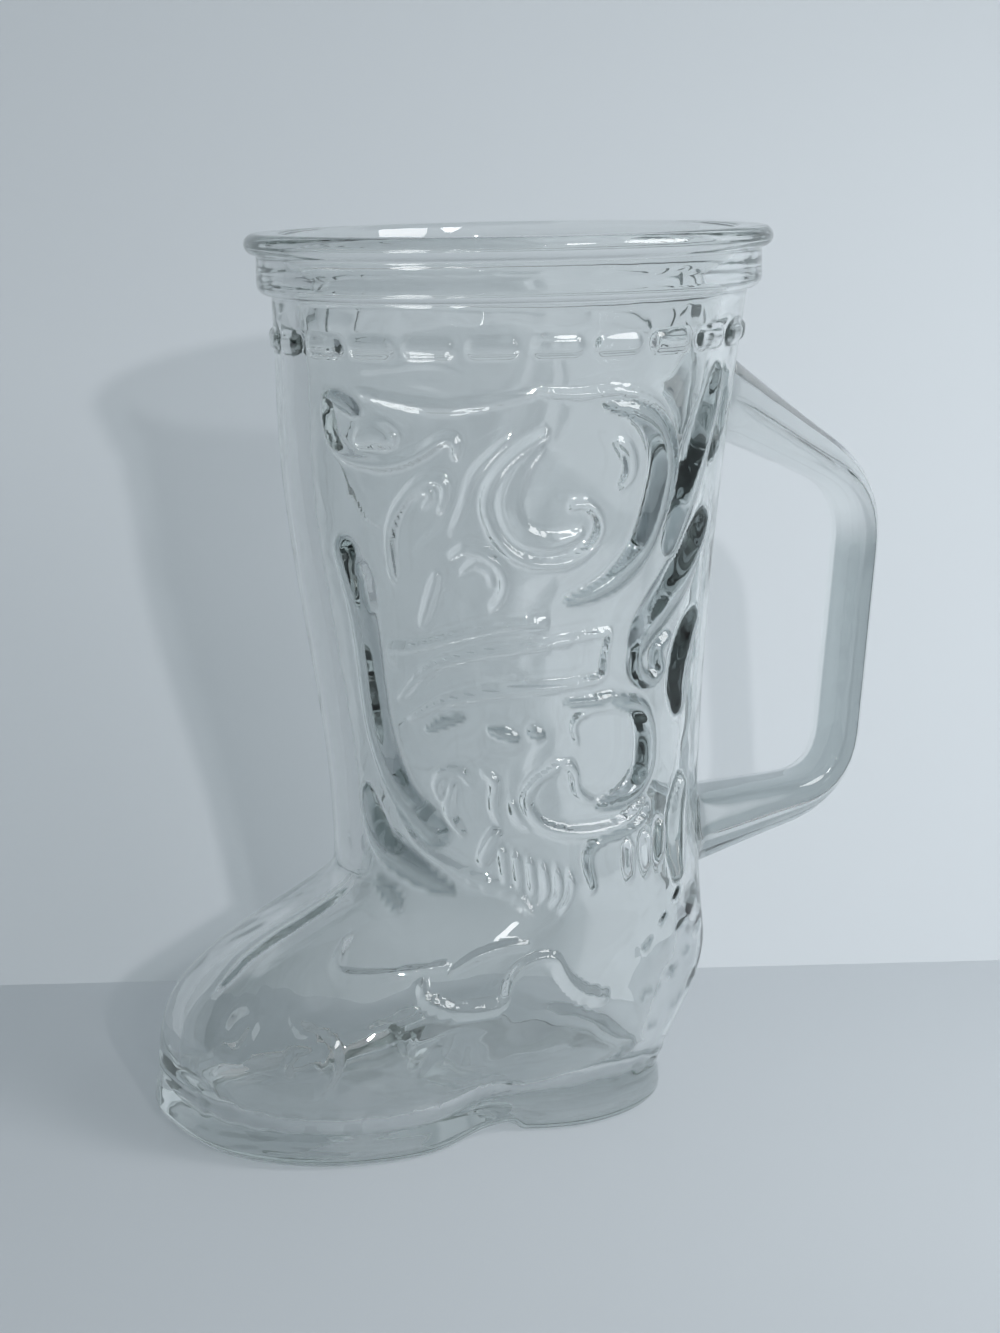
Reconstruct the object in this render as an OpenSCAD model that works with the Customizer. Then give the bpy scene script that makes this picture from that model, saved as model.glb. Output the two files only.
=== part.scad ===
// Beer boot glass: a clear moulded drinking mug in the shape of a riding boot, with a loop handle.
// +Z is up, the toe points to -X and the handle to +X. All lengths are in millimetres.
// The whole glass is one moulding. Each part of its form is a solid of its own that meets its
// neighbours face to face, and the raised ornament lies on the wall a hair's breadth away.

/* [Mug] */
// Height of the whole mug
mug_h = 150; // [135:1:180]
// Thickness of the glass wall
wall_t = 4.2; // [3:0.1:5.5]

/* [Rim] */
// How far the collar stands out from the leg
collar_w = 2.5; // [1.5:0.1:4]
// Height of the collar
collar_h = 6.8; // [5:0.1:10]
// Radius of the collar's rounded lower edge
collar_r = 2; // [1:0.1:2.4]
// How far the lip bead stands out from the collar
lip_w = 2; // [1:0.1:4]
// Height of the lip bead
lip_h = 3.6; // [2.4:0.1:5]
// How far the mouth stands back from the bore of the leg
mouth_step = 2.2; // [0.5:0.1:4]

/* [Leg] */
// Diameter of the leg where it meets the collar
leg_d = 81; // [74:0.5:90]
// Reach of the ankle in front of the leg's axis
ankle_front = 33; // [30:0.5:36]
// Reach of the ankle behind the leg's axis
ankle_back = 32; // [29:0.5:35]
// Width across the ankle
ankle_w = 59; // [54:0.5:64]
// Height of the ankle, where the leg stands on the foot
ankle_z = 46; // [44:0.5:52]
// Distance below the collar at which the shin has its full depth
shin_drop = 21.5; // [12:0.5:40]

/* [Foot] */
// Reach of the toe in front of the leg's axis
toe_reach = 65; // [58:0.5:74]
// Width across the ball of the foot
ball_w = 64; // [58:0.5:70]
// Distance below the ankle at which the instep runs out into the shin
instep_drop = 4; // [2:0.5:8]
// Reach of the heel counter behind the leg's axis
counter_reach = 32.3; // [29:0.1:35]
// Height at which the counter stands out most
counter_z = 27; // [22:0.5:32]
// Reach of the tucked-in heel behind the leg's axis
heel_reach = 18.5; // [15:0.5:24]
// Distance of the waist in front of the leg's axis
waist_x = 19; // [15:0.5:23]
// Length over which the waist is drawn in
waist_l = 11; // [8:0.5:14]

/* [Sole and heel] */
// How far the sole stands out from the upper
welt_w = 1; // [0.5:0.1:2]
// Thickness of the plate under the upper
plate_t = 1.6; // [1.2:0.1:3]
// Height of the heel block and of the outsole
heel_h = 4; // [3:0.1:7]
// Distance of the heel's front face in front of the leg's axis
breast_x = 13; // [9:0.5:15]
// Rise of the outsole at its waist end
arch_h = 1.6; // [0.8:0.1:2.4]
// Rise of the outsole at the tip of the toe
toe_spring = 0.6; // [0.2:0.1:1.6]
// Length of toe over which the outsole rises
spring_l = 18; // [10:0.5:24]
// Radius of the rounded lower edges
edge_r = 1; // [0.5:0.1:1.4]

/* [Handle] */
// Reach of the handle's upper elbow behind the leg's axis
handle_reach = 76.5; // [70:0.5:84]
// Distance of the upper root below the row of stitches
upper_root_drop = 11; // [10:0.5:20]
// Distance of the lower root below the ankle
lower_root_drop = 4.5; // [0:0.5:7]
// Drop of the upper arm from root to elbow
upper_drop = 20; // [14:0.5:26]
// Rise of the lower arm from root to elbow
lower_rise = 4.5; // [1:0.5:8]
// How much further out the upper elbow stands than the lower one
bar_lean = 6.5; // [2:0.5:10]
// Thickness of the bar, seen from the side
bar_t = 8; // [6:0.1:10]
// Width of the bar, seen from behind
bar_w = 11; // [8:0.1:14]
// Extra thickness and width at the roots
root_flare = 4; // [1:0.1:6]
// Length of straight that each elbow's curve takes up
elbow_l = 11; // [7:0.5:13]

/* [Ornament] */
// Height of the raised ornament
relief_h = 1.3; // [0.6:0.1:2]
// Width of the main scrolls
scroll_w = 3.2; // [2:0.1:4.5]
// Width of the fine lines
line_w = 1.8; // [1:0.1:2.6]
// Number of stitches round the top of the leg
stitch_count = 24; // [16:1:30]
// Length of one stitch
stitch_l = 6.8; // [4:0.1:8]
// Width of one stitch
stitch_w = 2; // [1.2:0.1:3]
// Distance from the collar down to the row of stitches
stitch_drop = 7.2; // [5:0.1:10]
// Outer radius of the great scroll
great_scroll_r = 17; // [13:0.5:19]
// Outer radius of the curl inside it
curl_r = 11; // [8:0.5:12]
// Outer radius of the lower scroll
low_scroll_r = 10; // [7:0.5:11]
// Outer radius of the scrolls on the toe
toe_scroll_r = 5; // [3.5:0.1:6]
// Length of the short stitches on counter and welt
dash_l = 4.2; // [3:0.1:5]

/* [Hidden] */

// Clear glass with a slight grey-green cast, and a paler shade for what is raised on it
glass = [0.80, 0.88, 0.88];
raised_glass = [0.88, 0.94, 0.94];

// Heights and radii that follow from the sizes above
leg_r = leg_d / 2;
bore_r = leg_r - wall_t;
mouth_r = bore_r + mouth_step;
collar_out_r = leg_r + collar_w;
lip_out_r = collar_out_r + lip_w;
lip_z = mug_h - lip_h;
collar_z = lip_z - collar_h;
sole_z = heel_h + plate_t;
leg_h = collar_z - ankle_z;
foot_h = ankle_z - sole_z;
shin_z = collar_z - shin_drop;
instep_z = ankle_z - instep_drop;
stitch_z = collar_z - stitch_drop;
upper_root_z = stitch_z - upper_root_drop;
lower_root_z = ankle_z - lower_root_drop;

// Clearance of the ornament and of the handle's roots from the wall
seat_gap = 0.06;
// Steps in height and in degrees for measuring slopes
rise_step = 0.2;
turn_step = 0.2;

// Powers and shares that shape the curves
toe_power = 2.2;
calf_power = 1.6;
side_power = 1.4;
foot_power = 2.8;
bar_power = 3.2;
waist_share = 0.22;

// Numbers of points round the leg, round one half of the foot and round the bar
girth_n = 60;
half_n = 30;
bar_n = 16;
// Numbers of steps: between two points of a path, along a stitch, along the seam
path_n = 3;
stitch_n = 4;
seam_n = 16;
// Degrees from one point of a spiral to the next
spiral_step = 18;

// Levels of the lofts, as shares of the leg's height and of the foot's
ankle_level_shares = [0, 0.06, 0.14, 0.23, 0.33, 0.43];
shaft_level_shares = [0.43, 0.53, 0.64, 0.75, 0.87, 1];
toe_level_shares = [0, 0.1, 0.22, 0.36, 0.5];
vamp_level_shares = [0.5, 0.6, 0.69, 0.77, 0.84, 0.9, 0.95, 1];
counter_level_shares = [0, 0.1, 0.22, 0.36, 0.5, 0.6, 0.69, 0.77, 0.84, 0.9, 0.95, 1];

// Profiles of a raised line across its width: shares of half its width and of its height
round_shares = [[-1, 0], [-0.72, 0.68], [-0.26, 1], [0.26, 1], [0.72, 0.68], [1, 0]];
fine_shares = [[-1, 0], [-0.48, 1], [0.48, 1], [1, 0]];
// Width of raised lines at their ends: shares of the width in the middle
sharp_share = 0.2;
taper_share = 0.3;
half_share = 0.5;
blunt_share = 0.65;

// Curves that the forms are made from

function smooth(s) = let (u = min(max(s, 0), 1)) u * u * (3 - 2 * u);

function signed_power(s, p) = sign(s) * pow(abs(s), p);

// Reach of the outline in front of the axis at height z: the shin, and the toe below the instep
function front(z) =
    let (shin = ankle_front + (leg_r - ankle_front) * smooth((z - ankle_z) / (shin_z - ankle_z)),
        climb = max((z - sole_z) / (instep_z - sole_z), 0))
    shin + (toe_reach - ankle_front) * (1 - smooth(pow(climb, toe_power)));

function leg_climb(z) = min(max((z - ankle_z) / leg_h, 0), 1);

// Reach of the outline behind the axis: the calf above the ankle, counter and heel below it
function back(z) =
    z >= ankle_z
        ? ankle_back + (leg_r - ankle_back) * pow(leg_climb(z), calf_power)
        : heel_reach + (counter_reach - heel_reach) * smooth(z / counter_z)
            + (ankle_back - counter_reach) * smooth((z - counter_z) / (ankle_z - counter_z));

function half_width(z) =
    ankle_w / 2 + (leg_r - ankle_w / 2) * pow(leg_climb(z), side_power)
        + (ball_w - ankle_w) / 2 * (1 - smooth((z - sole_z) / foot_h));

function outline_power(z) = 2 + (foot_power - 2) * (1 - smooth((z - sole_z) / foot_h));

function waist_draw(z) = waist_share * (1 - smooth(z / counter_z));

// How much longer the wall is across a slope than square to it
function slant(reach_above, reach_below) =
    sqrt(1 + pow((reach_above - reach_below) / (2 * rise_step), 2));

function front_slant(z) = slant(front(z + rise_step), front(max(z - rise_step, sole_z)));

function back_slant(z) = slant(back(z + rise_step), back(z - rise_step));

// Point of the outline at turn t and height z: t is 0 at the back and 180 at the toe.
// A positive grow moves the outline outwards, a negative one inwards.
function outline_pt(t, z, grow_front, grow_back, grow_side) =
    let (f = front(z) + grow_front,
        b = back(z) + grow_back,
        p = 2 / outline_power(z),
        x = (b - f) / 2 + (b + f) / 2 * signed_power(cos(t), p),
        draw = waist_draw(z) * exp(-pow((x + waist_x) / waist_l, 2)))
    [x, (half_width(z) * (1 - draw) + grow_side) * signed_power(sin(t), p), z];

function outer_pt(t, z) = outline_pt(t, z, 0, 0, 0);

function inner_pt(t, z) =
    outline_pt(t, z, -wall_t * front_slant(z), -wall_t * back_slant(z), -wall_t);

// Outward direction of the wall, and how far one degree and one unit of height go along it
function turn_way(t, z) = (outer_pt(t + turn_step, z) - outer_pt(t - turn_step, z)) / (2 * turn_step);

function rise_way(t, z) = (outer_pt(t, z + rise_step) - outer_pt(t, z - rise_step)) / (2 * rise_step);

function outward(t, z) = let (n = cross(turn_way(t, z), rise_way(t, z))) n / norm(n);

// Turns spread evenly, half a step off the ends so that the two sides mirror each other
function turns(from, to, n) = [for (j = [0 : n - 1]) from + (to - from) * (j + 0.5) / n];

function steps(from, to, n) = [for (j = [0 : n]) from + (to - from) * j / n];

// Closed loft through loops of equal length. Points j and m - 1 - j of a loop are partners, and
// the ends are closed by strips between partners.
module loft(loops) {
    m = len(loops[0]);
    n = len(loops);
    points = [for (loop = loops) each loop];
    sides = [for (k = [0 : n - 2], j = [0 : m - 1])
        let (a = k * m + j, b = k * m + (j + 1) % m)
        each [[a, a + m, b + m], [a, b + m, b]]];
    first_end = [for (j = [0 : m / 2 - 2])
        each [[j, j + 1, m - 2 - j], [j, m - 2 - j, m - 1 - j]]];
    last_end = [for (f = first_end) [for (i = [2, 1, 0]) f[i] + (n - 1) * m]];
    polyhedron(points, concat(sides, first_end, last_end));
}

// Closed tube between an outer and an inner stack of loops, open at both ends
module tube(outer_loops, inner_loops) {
    m = len(outer_loops[0]);
    n = len(outer_loops);
    points = [for (loop = concat(outer_loops, inner_loops)) each loop];
    walls = [for (k = [0 : n - 2], j = [0 : m - 1])
        let (a = k * m + j, b = k * m + (j + 1) % m, c = n * m)
        each [[a, a + m, b + m], [a, b + m, b], [c + a, c + b + m, c + a + m], [c + a, c + b, c + b + m]]];
    rims = [for (j = [0 : m - 1])
        let (b = (j + 1) % m, top = (n - 1) * m, c = n * m)
        each [[j, b, c + b], [j, c + b, c + j],
            [top + j, c + top + b, top + b], [top + j, c + top + j, c + top + b]]];
    polyhedron(points, concat(walls, rims));
}

// Smooth path through hand-set points, with path_n steps from each point to the next
function through(pts) =
    let (last = len(pts) - 1)
    [for (k = [0 : last - 1], i = [0 : k == last - 1 ? path_n : path_n - 1])
        let (s = i / path_n,
            before = k == 0 ? 2 * pts[0] - pts[1] : pts[k - 1],
            after = k == last - 1 ? 2 * pts[last] - pts[last - 1] : pts[k + 2])
        0.5 * (2 * pts[k] + (pts[k + 1] - before) * s
            + (2 * before - 5 * pts[k] + 4 * pts[k + 1] - after) * s * s
            + (3 * pts[k] - before - 3 * pts[k + 1] + after) * s * s * s)];

// Places on the wall, as [turn, height], for a share of the way round from the shin's middle to the
// back and a share of the leg's or the foot's own height
function on_leg(shares) = [180 + 180 * shares[0], ankle_z + shares[1] * leg_h];

function on_foot(shares) = [180 + 180 * shares[0], sole_z + shares[1] * foot_h];

// Spiral on the wall round a place, from radius r_from to r_to while it sweeps between two angles
function spiral(place, r_from, r_to, sweep) =
    let (degree_l = norm(turn_way(place[0], place[1])),
        rise_l = norm(rise_way(place[0], place[1])),
        arc = sweep[1] - sweep[0])
    [for (s = steps(0, 1, ceil(abs(arc) / spiral_step)))
        let (r = r_from + (r_to - r_from) * s, a = sweep[0] + arc * s)
        [place[0] + r * cos(a) / degree_l, place[1] + r * sin(a) / rise_l]];

// Raised line along a path of places on the wall. It is widest in the middle, and at its ends its
// width is end_share of that.
module ridge(path, w, end_share, profile_shares) {
    last = len(path) - 1;
    loft([for (k = [0 : last])
        let (at = path[k],
            ahead = path[min(k + 1, last)] - path[max(k - 1, 0)],
            degree_l = norm(turn_way(at[0], at[1])),
            rise_l = norm(rise_way(at[0], at[1])),
            way = [ahead[0] * degree_l, ahead[1] * rise_l],
            side = [-way[1], way[0]] / norm(way),
            swell = end_share + (1 - end_share) * sin(180 * k / last))
        [for (s = profile_shares)
            let (t = at[0] - side[0] * s[0] * swell * w / 2 / degree_l,
                z = at[1] - side[1] * s[0] * swell * w / 2 / rise_l)
            outer_pt(t, z) + outward(t, z) * (seat_gap + s[1] * relief_h * swell)]]);
}

module scroll(path, end_share) {
    ridge(path, scroll_w, end_share, round_shares);
}

module line(path, end_share) {
    ridge(path, line_w, end_share, fine_shares);
}

module at_axis() {
    translate([axis_x, 0, 0]) children();
}

// Rim

module rim_lip() {
    bead_r = lip_h / 2;
    inner_edge_r = lip_h / 3;
    bead_x = lip_out_r - bead_r;
    edge_x = mouth_r + inner_edge_r;
    color(glass) at_axis() rotate_extrude($fn = 96) {
        translate([bead_x, lip_z + bead_r]) circle(bead_r, $fn = 48);
        translate([edge_x, mug_h - inner_edge_r]) circle(inner_edge_r, $fn = 48);
        translate([edge_x, lip_z]) square([bead_x - edge_x, lip_h]);
        translate([mouth_r, lip_z]) square([inner_edge_r, lip_h - inner_edge_r]);
    }
}

// Inside, the collar narrows from the mouth to the bore of the leg
module rim_collar() {
    edge_x = collar_out_r - collar_r;
    edge_z = collar_z + collar_r;
    color(glass) at_axis() rotate_extrude($fn = 96) {
        translate([edge_x, edge_z]) circle(collar_r, $fn = 48);
        polygon([[bore_r, collar_z], [edge_x, collar_z], [edge_x, edge_z], [collar_out_r, edge_z],
            [collar_out_r, lip_z], [mouth_r, lip_z]]);
    }
}

// Leg and foot

// Ring of the leg's wall from one level to another
module leg_ring(level_shares) {
    levels = [for (s = level_shares) ankle_z + s * leg_h];
    around = turns(0, 360, girth_n);
    color(glass) at_axis()
        tube([for (z = levels) [for (t = around) outer_pt(t, z)]],
            [for (z = levels) [for (t = around) inner_pt(t, z)]]);
}

module shaft_wall() {
    leg_ring(shaft_level_shares);
}

module ankle_wall() {
    leg_ring(ankle_level_shares);
}

// Half of the foot's wall between two turns: the outer arc and the inner arc back make one loop
module foot_half(from, to, level_shares) {
    arc = steps(from, to, half_n);
    back_arc = steps(to, from, half_n);
    color(glass) at_axis()
        loft([for (s = level_shares)
            let (z = sole_z + s * foot_h)
            concat([for (t = arc) outer_pt(t, z)], [for (t = back_arc) inner_pt(t, z)])]);
}

module vamp() {
    foot_half(90, 270, vamp_level_shares);
}

module toe_wall() {
    foot_half(90, 270, toe_level_shares);
}

module heel_counter() {
    foot_half(-90, 90, counter_level_shares);
}

// Outline of the sole at a height: the upper's lowest outline, grown by the welt less an inset
function sole_pt(t, z, inset) =
    let (grow = welt_w - inset, p = outline_pt(t, sole_z, grow, grow, grow)) [p[0], p[1], z];

module sole_plate() {
    around = turns(0, 360, girth_n);
    color(glass) at_axis()
        loft([for (level = [[heel_h, 0], [sole_z - edge_r / 2, 0], [sole_z, edge_r / 2]])
            [for (t = around) sole_pt(t, level[0], level[1])]]);
}

// Turn at which the sole's outline, with an inset, crosses the heel's front face
function breast_turn(inset) =
    let (grow = welt_w - inset,
        f = front(sole_z) + grow,
        b = back(sole_z) + grow,
        share = (-breast_x - (b - f) / 2) / ((b + f) / 2))
    acos(signed_power(share, outline_power(sole_z) / 2));

// Height of the outsole's underside: flat at the ball, sprung at the toe and arched to the waist
function underside(x) =
    let (to_toe = 1 - (toe_reach + welt_w + x) / spring_l,
        to_waist = (x + waist_x + waist_l) / (waist_x + waist_l - breast_x))
    toe_spring * smooth(to_toe) + arch_h * smooth(to_waist);

// Levels of the outsole and the heel block, each with the inset of its rounded lower edge
sole_levels = [[0, edge_r], [edge_r / 3, edge_r / 3], [edge_r, 0], [heel_h, 0]];

module outsole() {
    color(glass) at_axis()
        loft([for (level = sole_levels)
            let (from = breast_turn(level[1]))
            [for (t = steps(from, 360 - from, girth_n - 1))
                let (p = sole_pt(t, level[0], level[1]))
                p + [0, 0, underside(p[0]) * (1 - level[0] / heel_h)]]]);
}

module heel_block() {
    color(glass) at_axis()
        loft([for (level = sole_levels)
            let (to = breast_turn(level[1]))
            [for (t = steps(-to, to, half_n - 1)) sole_pt(t, level[0], level[1])]]);
}

// Handle

upper_elbow = [handle_reach - bar_t / 2, upper_root_z - upper_drop];
lower_elbow = [upper_elbow[0] - bar_lean, lower_root_z + lower_rise];
upper_root = [back(upper_root_z), upper_root_z];
lower_root = [back(lower_root_z), lower_root_z];

// Middle line of the handle, as [reach, height], from the upper root to the lower one
function toward(a, b, l) = a + (b - a) * l / norm(b - a);

function bend(a, corner, b) =
    let (p = toward(corner, a, elbow_l), q = toward(corner, b, elbow_l))
    [for (s = steps(0, 1, elbow_n)) (1 - s) * (1 - s) * p + 2 * s * (1 - s) * corner + s * s * q];

function reverse(list) = [for (k = [len(list) - 1 : -1 : 0]) list[k]];

// Stations along an arm, as shares of its straight length and of the extra thickness at its root,
// and that share round the elbow
arm_shares = [[0.14, 0.85], [0.32, 0.66], [0.62, 0.48]];
elbow_n = 6;
elbow_shares = [0.34, 0.26, 0.18, 0.1, 0.05, 0, 0];

// Reach of the wall behind the axis at a height, y away from the middle plane
function wall_reach(y, z) =
    let (mid = (back(z) - front(z)) / 2, p = outline_power(z))
    mid + (back(z) + front(z)) / 2 * pow(1 - pow(abs(y) / half_width(z), p), 1 / p);

function bar_ring(grow) =
    [for (a = turns(0, 360, bar_n))
        [(bar_t + grow) / 2 * signed_power(cos(a), 2 / bar_power),
            (bar_w + grow) / 2 * signed_power(sin(a), 2 / bar_power)]];

// End ring, laid on the wall. An arm that runs outwards has its upper side on side 1, and one that
// runs back to the wall has it on side -1.
function root_ring(z, slope, side) =
    [for (s = bar_ring(root_flare))
        let (at_z = z + side * s[0] * sqrt(1 + slope * slope))
        [wall_reach(s[1], at_z) + seat_gap, s[1], at_z]];

function handle_rings() =
    let (upper_bend = bend(upper_root, upper_elbow, lower_elbow),
        lower_bend = bend(upper_elbow, lower_elbow, lower_root),
        upper_arm = [for (s = arm_shares) upper_root + (upper_bend[0] - upper_root) * s[0]],
        lower_arm = [for (s = arm_shares) lower_root + (lower_bend[elbow_n] - lower_root) * s[0]],
        path = concat(upper_arm, upper_bend, lower_bend, reverse(lower_arm)),
        half_grows = concat([for (s = arm_shares) s[1]], elbow_shares),
        grows = concat(half_grows, reverse(half_grows)),
        last = len(path) - 1,
        upper_way = upper_elbow - upper_root,
        lower_way = lower_elbow - lower_root)
    concat([root_ring(upper_root_z, upper_way[1] / upper_way[0], 1)],
        [for (k = [0 : last])
            let (way = path[min(k + 1, last)] - path[max(k - 1, 0)], out = [-way[1], way[0]] / norm(way))
            [for (s = bar_ring(root_flare * grows[k]))
                [path[k][0] + out[0] * s[0], s[1], path[k][1] + out[1] * s[0]]]],
        [root_ring(lower_root_z, lower_way[1] / lower_way[0], -1)]);

// The origin is under the middle of the box round toe and handle
toe_far = toe_reach + max(welt_w, relief_h);
handle_far = max([for (ring = handle_rings()) each [for (p = ring) p[0]]]);
axis_x = (toe_far - handle_far) / 2;

module handle() {
    color(glass) at_axis() loft(handle_rings());
}

// Ornament

// Raised things on the near side, and their mirror images on the far side
module raised() {
    color(raised_glass) at_axis() {
        children();
        mirror([0, 1, 0]) children();
    }
}

module stitch_band() {
    half_turn = stitch_l / leg_r * 90 / PI;
    color(raised_glass) at_axis()
        for (j = [0 : stitch_count - 1])
            let (t = 360 * j / stitch_count, path = steps(t - half_turn, t + half_turn, stitch_n))
            ridge([for (a = path) [a, stitch_z]], stitch_w, half_share, fine_shares);
}

// Raised seam down the middle of the shin, from under the stitches to the instep
module front_seam() {
    color(raised_glass) at_axis()
        scroll([for (z = steps(stitch_z - stitch_w, instep_z + scroll_w, seam_n)) [180, z]], blunt_share);
}

// Middles of the scrolls and curls on the side of the leg, and the angles that they sweep
great_scroll_shares = [0.46, 0.67];
great_scroll_sweep = [120, -110];
curl_shares = [0.43, 0.63];
curl_sweep = [60, 500];
low_scroll_shares = [0.505, 0.2];
low_scroll_sweep = [160, -110];
low_curl_shares = [0.41, 0.11];
low_curl_sweep = [60, 420];
// Size of the low curl beside the low scroll, and of the eye that a curl ends in
low_curl_share = 0.5;
eye_share = 0.3;
// The line that leads into the great scroll
lead_shares = [[0.12, 0.84], [0.22, 0.825], [0.32, 0.845]];

// A spiral of one radius, and one that winds in to its eye
module great_curve(place_shares, r, sweep) {
    scroll(spiral(on_leg(place_shares), r, r, sweep), taper_share);
}

module curl(place, r, sweep) {
    line(spiral(place, r, r * eye_share, sweep), blunt_share);
}

module scrollwork() {
    raised() {
        great_curve(great_scroll_shares, great_scroll_r, great_scroll_sweep);
        curl(on_leg(curl_shares), curl_r, curl_sweep);
        great_curve(low_scroll_shares, low_scroll_r, low_scroll_sweep);
        curl(on_leg(low_curl_shares), low_scroll_r * low_curl_share, low_curl_sweep);
        line([for (s = through(lead_shares)) on_leg(s)], taper_share);
    }
}

// Leaves: places along the middle of each leaf
leaf_shares = [
    [[0.09, 0.82], [0.14, 0.735], [0.25, 0.74], [0.305, 0.765]],
    [[0.2, 0.53], [0.205, 0.62], [0.26, 0.69], [0.285, 0.66]],
    [[0.225, 0.44], [0.27, 0.53], [0.335, 0.56], [0.345, 0.5]],
    [[0.72, 0.84], [0.705, 0.78], [0.69, 0.73]],
    [[0.685, 0.7], [0.67, 0.63], [0.65, 0.57]],
    [[0.24, 0.18], [0.25, 0.11], [0.295, 0.06]],
    [[0.32, 0.2], [0.34, 0.15], [0.365, 0.12]],
    [[0.63, 0.06], [0.66, 0.12], [0.7, 0.15]],
];

module leaf_sprays() {
    raised() for (leaf = leaf_shares) scroll([for (s = through(leaf)) on_leg(s)], sharp_share);
}

// The long sweeps beside the shin, and the two edges of the ribbon across the side
sweep_shares = [[[0.11, 0.57], [0.135, 0.42], [0.13, 0.27], [0.165, 0.14], [0.235, 0.06]],
    [[0.08, 0.12], [0.1, 0.07], [0.16, 0.03]]];
ribbon_shares = [[[0.19, 0.33], [0.3, 0.385], [0.42, 0.42], [0.57, 0.425]],
    [[0.19, 0.25], [0.28, 0.29], [0.37, 0.305], [0.43, 0.31]]];

module side_ribbons() {
    raised() {
        for (sweep = sweep_shares) scroll([for (s = through(sweep)) on_leg(s)], taper_share);
        for (edge = ribbon_shares) line([for (s = through(edge)) on_leg(s)], half_share);
    }
}

// Scalloped edge of the vamp, from the instep back over the side of the foot
scallop_shares = [[0.06, 0.78], [0.2, 0.66], [0.34, 0.63], [0.42, 0.5], [0.47, 0.47], [0.5, 0.6],
    [0.53, 0.47], [0.58, 0.38], [0.63, 0.4]];

module vamp_scallops() {
    raised() line([for (s = through(scallop_shares)) on_foot(s)], blunt_share);
}

// Middles of the two curls on the side of the toe, the sweep behind them and the line above
toe_scroll_shares = [[0.14, 0.4], [0.29, 0.25]];
toe_scroll_sweep = [200, -200];
toe_sweep_shares = [[0.2, 0.52], [0.29, 0.47], [0.36, 0.36], [0.37, 0.24]];
toe_line_shares = [[0.06, 0.74], [0.06, 0.56]];

module toe_scrolls() {
    raised() {
        for (s = toe_scroll_shares) curl(on_foot(s), toe_scroll_r, toe_scroll_sweep);
        for (path = [toe_sweep_shares, toe_line_shares])
            line([for (s = through(path)) on_foot(s)], half_share);
    }
}

// A short level stitch with its middle at a place on the wall
module dash(at) {
    half_turn = dash_l / 2 / norm(turn_way(at[0], at[1]));
    ridge([at - [half_turn, 0], at + [half_turn, 0]], line_w, 1, fine_shares);
}

// Rows of short stitches on the counter, each from a first place to a last one
counter_row_shares = [
    [[0.63, 0.6], [0.86, 0.69]],
    [[0.66, 0.4], [0.92, 0.48]],
    [[0.66, 0.2], [0.92, 0.28]],
];
counter_row_count = 5;

module counter_stitches() {
    raised()
        for (row = counter_row_shares, s = steps(0, 1, counter_row_count - 1))
            dash(on_foot(row[0] + (row[1] - row[0]) * s));
}

welt_climb_share = 0.08;
welt_count = 12;

module welt_stitches() {
    raised()
        for (s = turns(0, 1, welt_count)) dash(on_foot([s, welt_climb_share]));
}

rim_lip();
rim_collar();
shaft_wall();
ankle_wall();
vamp();
toe_wall();
heel_counter();
sole_plate();
outsole();
heel_block();
handle();
stitch_band();
front_seam();
scrollwork();
leaf_sprays();
side_ribbons();
vamp_scallops();
toe_scrolls();
counter_stitches();
welt_stitches();
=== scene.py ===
"""Boot-shaped drinking glass: one clear moulding with raised scrolls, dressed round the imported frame."""

import math

import bmesh
import bpy
import numpy as np
from bpy.props import FloatProperty, FloatVectorProperty, PointerProperty
from mathutils import Matrix, Vector


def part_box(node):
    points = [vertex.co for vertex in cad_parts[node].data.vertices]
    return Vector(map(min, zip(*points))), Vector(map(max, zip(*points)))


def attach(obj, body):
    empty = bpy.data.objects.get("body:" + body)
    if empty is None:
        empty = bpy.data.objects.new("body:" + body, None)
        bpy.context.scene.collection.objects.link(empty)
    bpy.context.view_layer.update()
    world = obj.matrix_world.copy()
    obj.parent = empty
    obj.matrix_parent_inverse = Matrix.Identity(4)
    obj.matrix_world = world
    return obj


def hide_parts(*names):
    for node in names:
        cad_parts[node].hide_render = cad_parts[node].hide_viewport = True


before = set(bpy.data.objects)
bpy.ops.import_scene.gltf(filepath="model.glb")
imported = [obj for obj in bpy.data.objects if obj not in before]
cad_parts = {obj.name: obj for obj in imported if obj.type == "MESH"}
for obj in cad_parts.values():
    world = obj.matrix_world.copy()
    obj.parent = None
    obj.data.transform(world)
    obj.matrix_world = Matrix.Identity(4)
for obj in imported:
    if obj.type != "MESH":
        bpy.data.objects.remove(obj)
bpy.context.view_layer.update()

bl_info = {
    "name": "Boot glass",
    "version": (1, 0, 0),
    "blender": (4, 5, 0),
    "location": "View3D > Sidebar > Boot glass",
    "description": "Moulds a boot-shaped drinking glass with raised ornament and a loop handle",
    "category": "Object",
}

MM = 0.001
NODES = list(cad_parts)

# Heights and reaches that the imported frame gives
LIP_LOW, LIP_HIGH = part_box("rim_lip")
COLLAR_LOW, COLLAR_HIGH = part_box("rim_collar")
PLATE_LOW, PLATE_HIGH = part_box("sole_plate")
ANKLE_LOW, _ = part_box("ankle_wall")
AXIS_X = (LIP_LOW.x + LIP_HIGH.x) / 2
MUG_H, LIP_Z = LIP_HIGH.z, LIP_LOW.z
COLLAR_Z, ANKLE_Z = COLLAR_LOW.z, ANKLE_LOW.z
SOLE_Z, HEEL_H = PLATE_HIGH.z, PLATE_LOW.z
LIP_R, COLLAR_R = LIP_HIGH.y, COLLAR_HIGH.y
LEG_H, FOOT_H = COLLAR_Z - ANKLE_Z, ANKLE_Z - SOLE_Z

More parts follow.
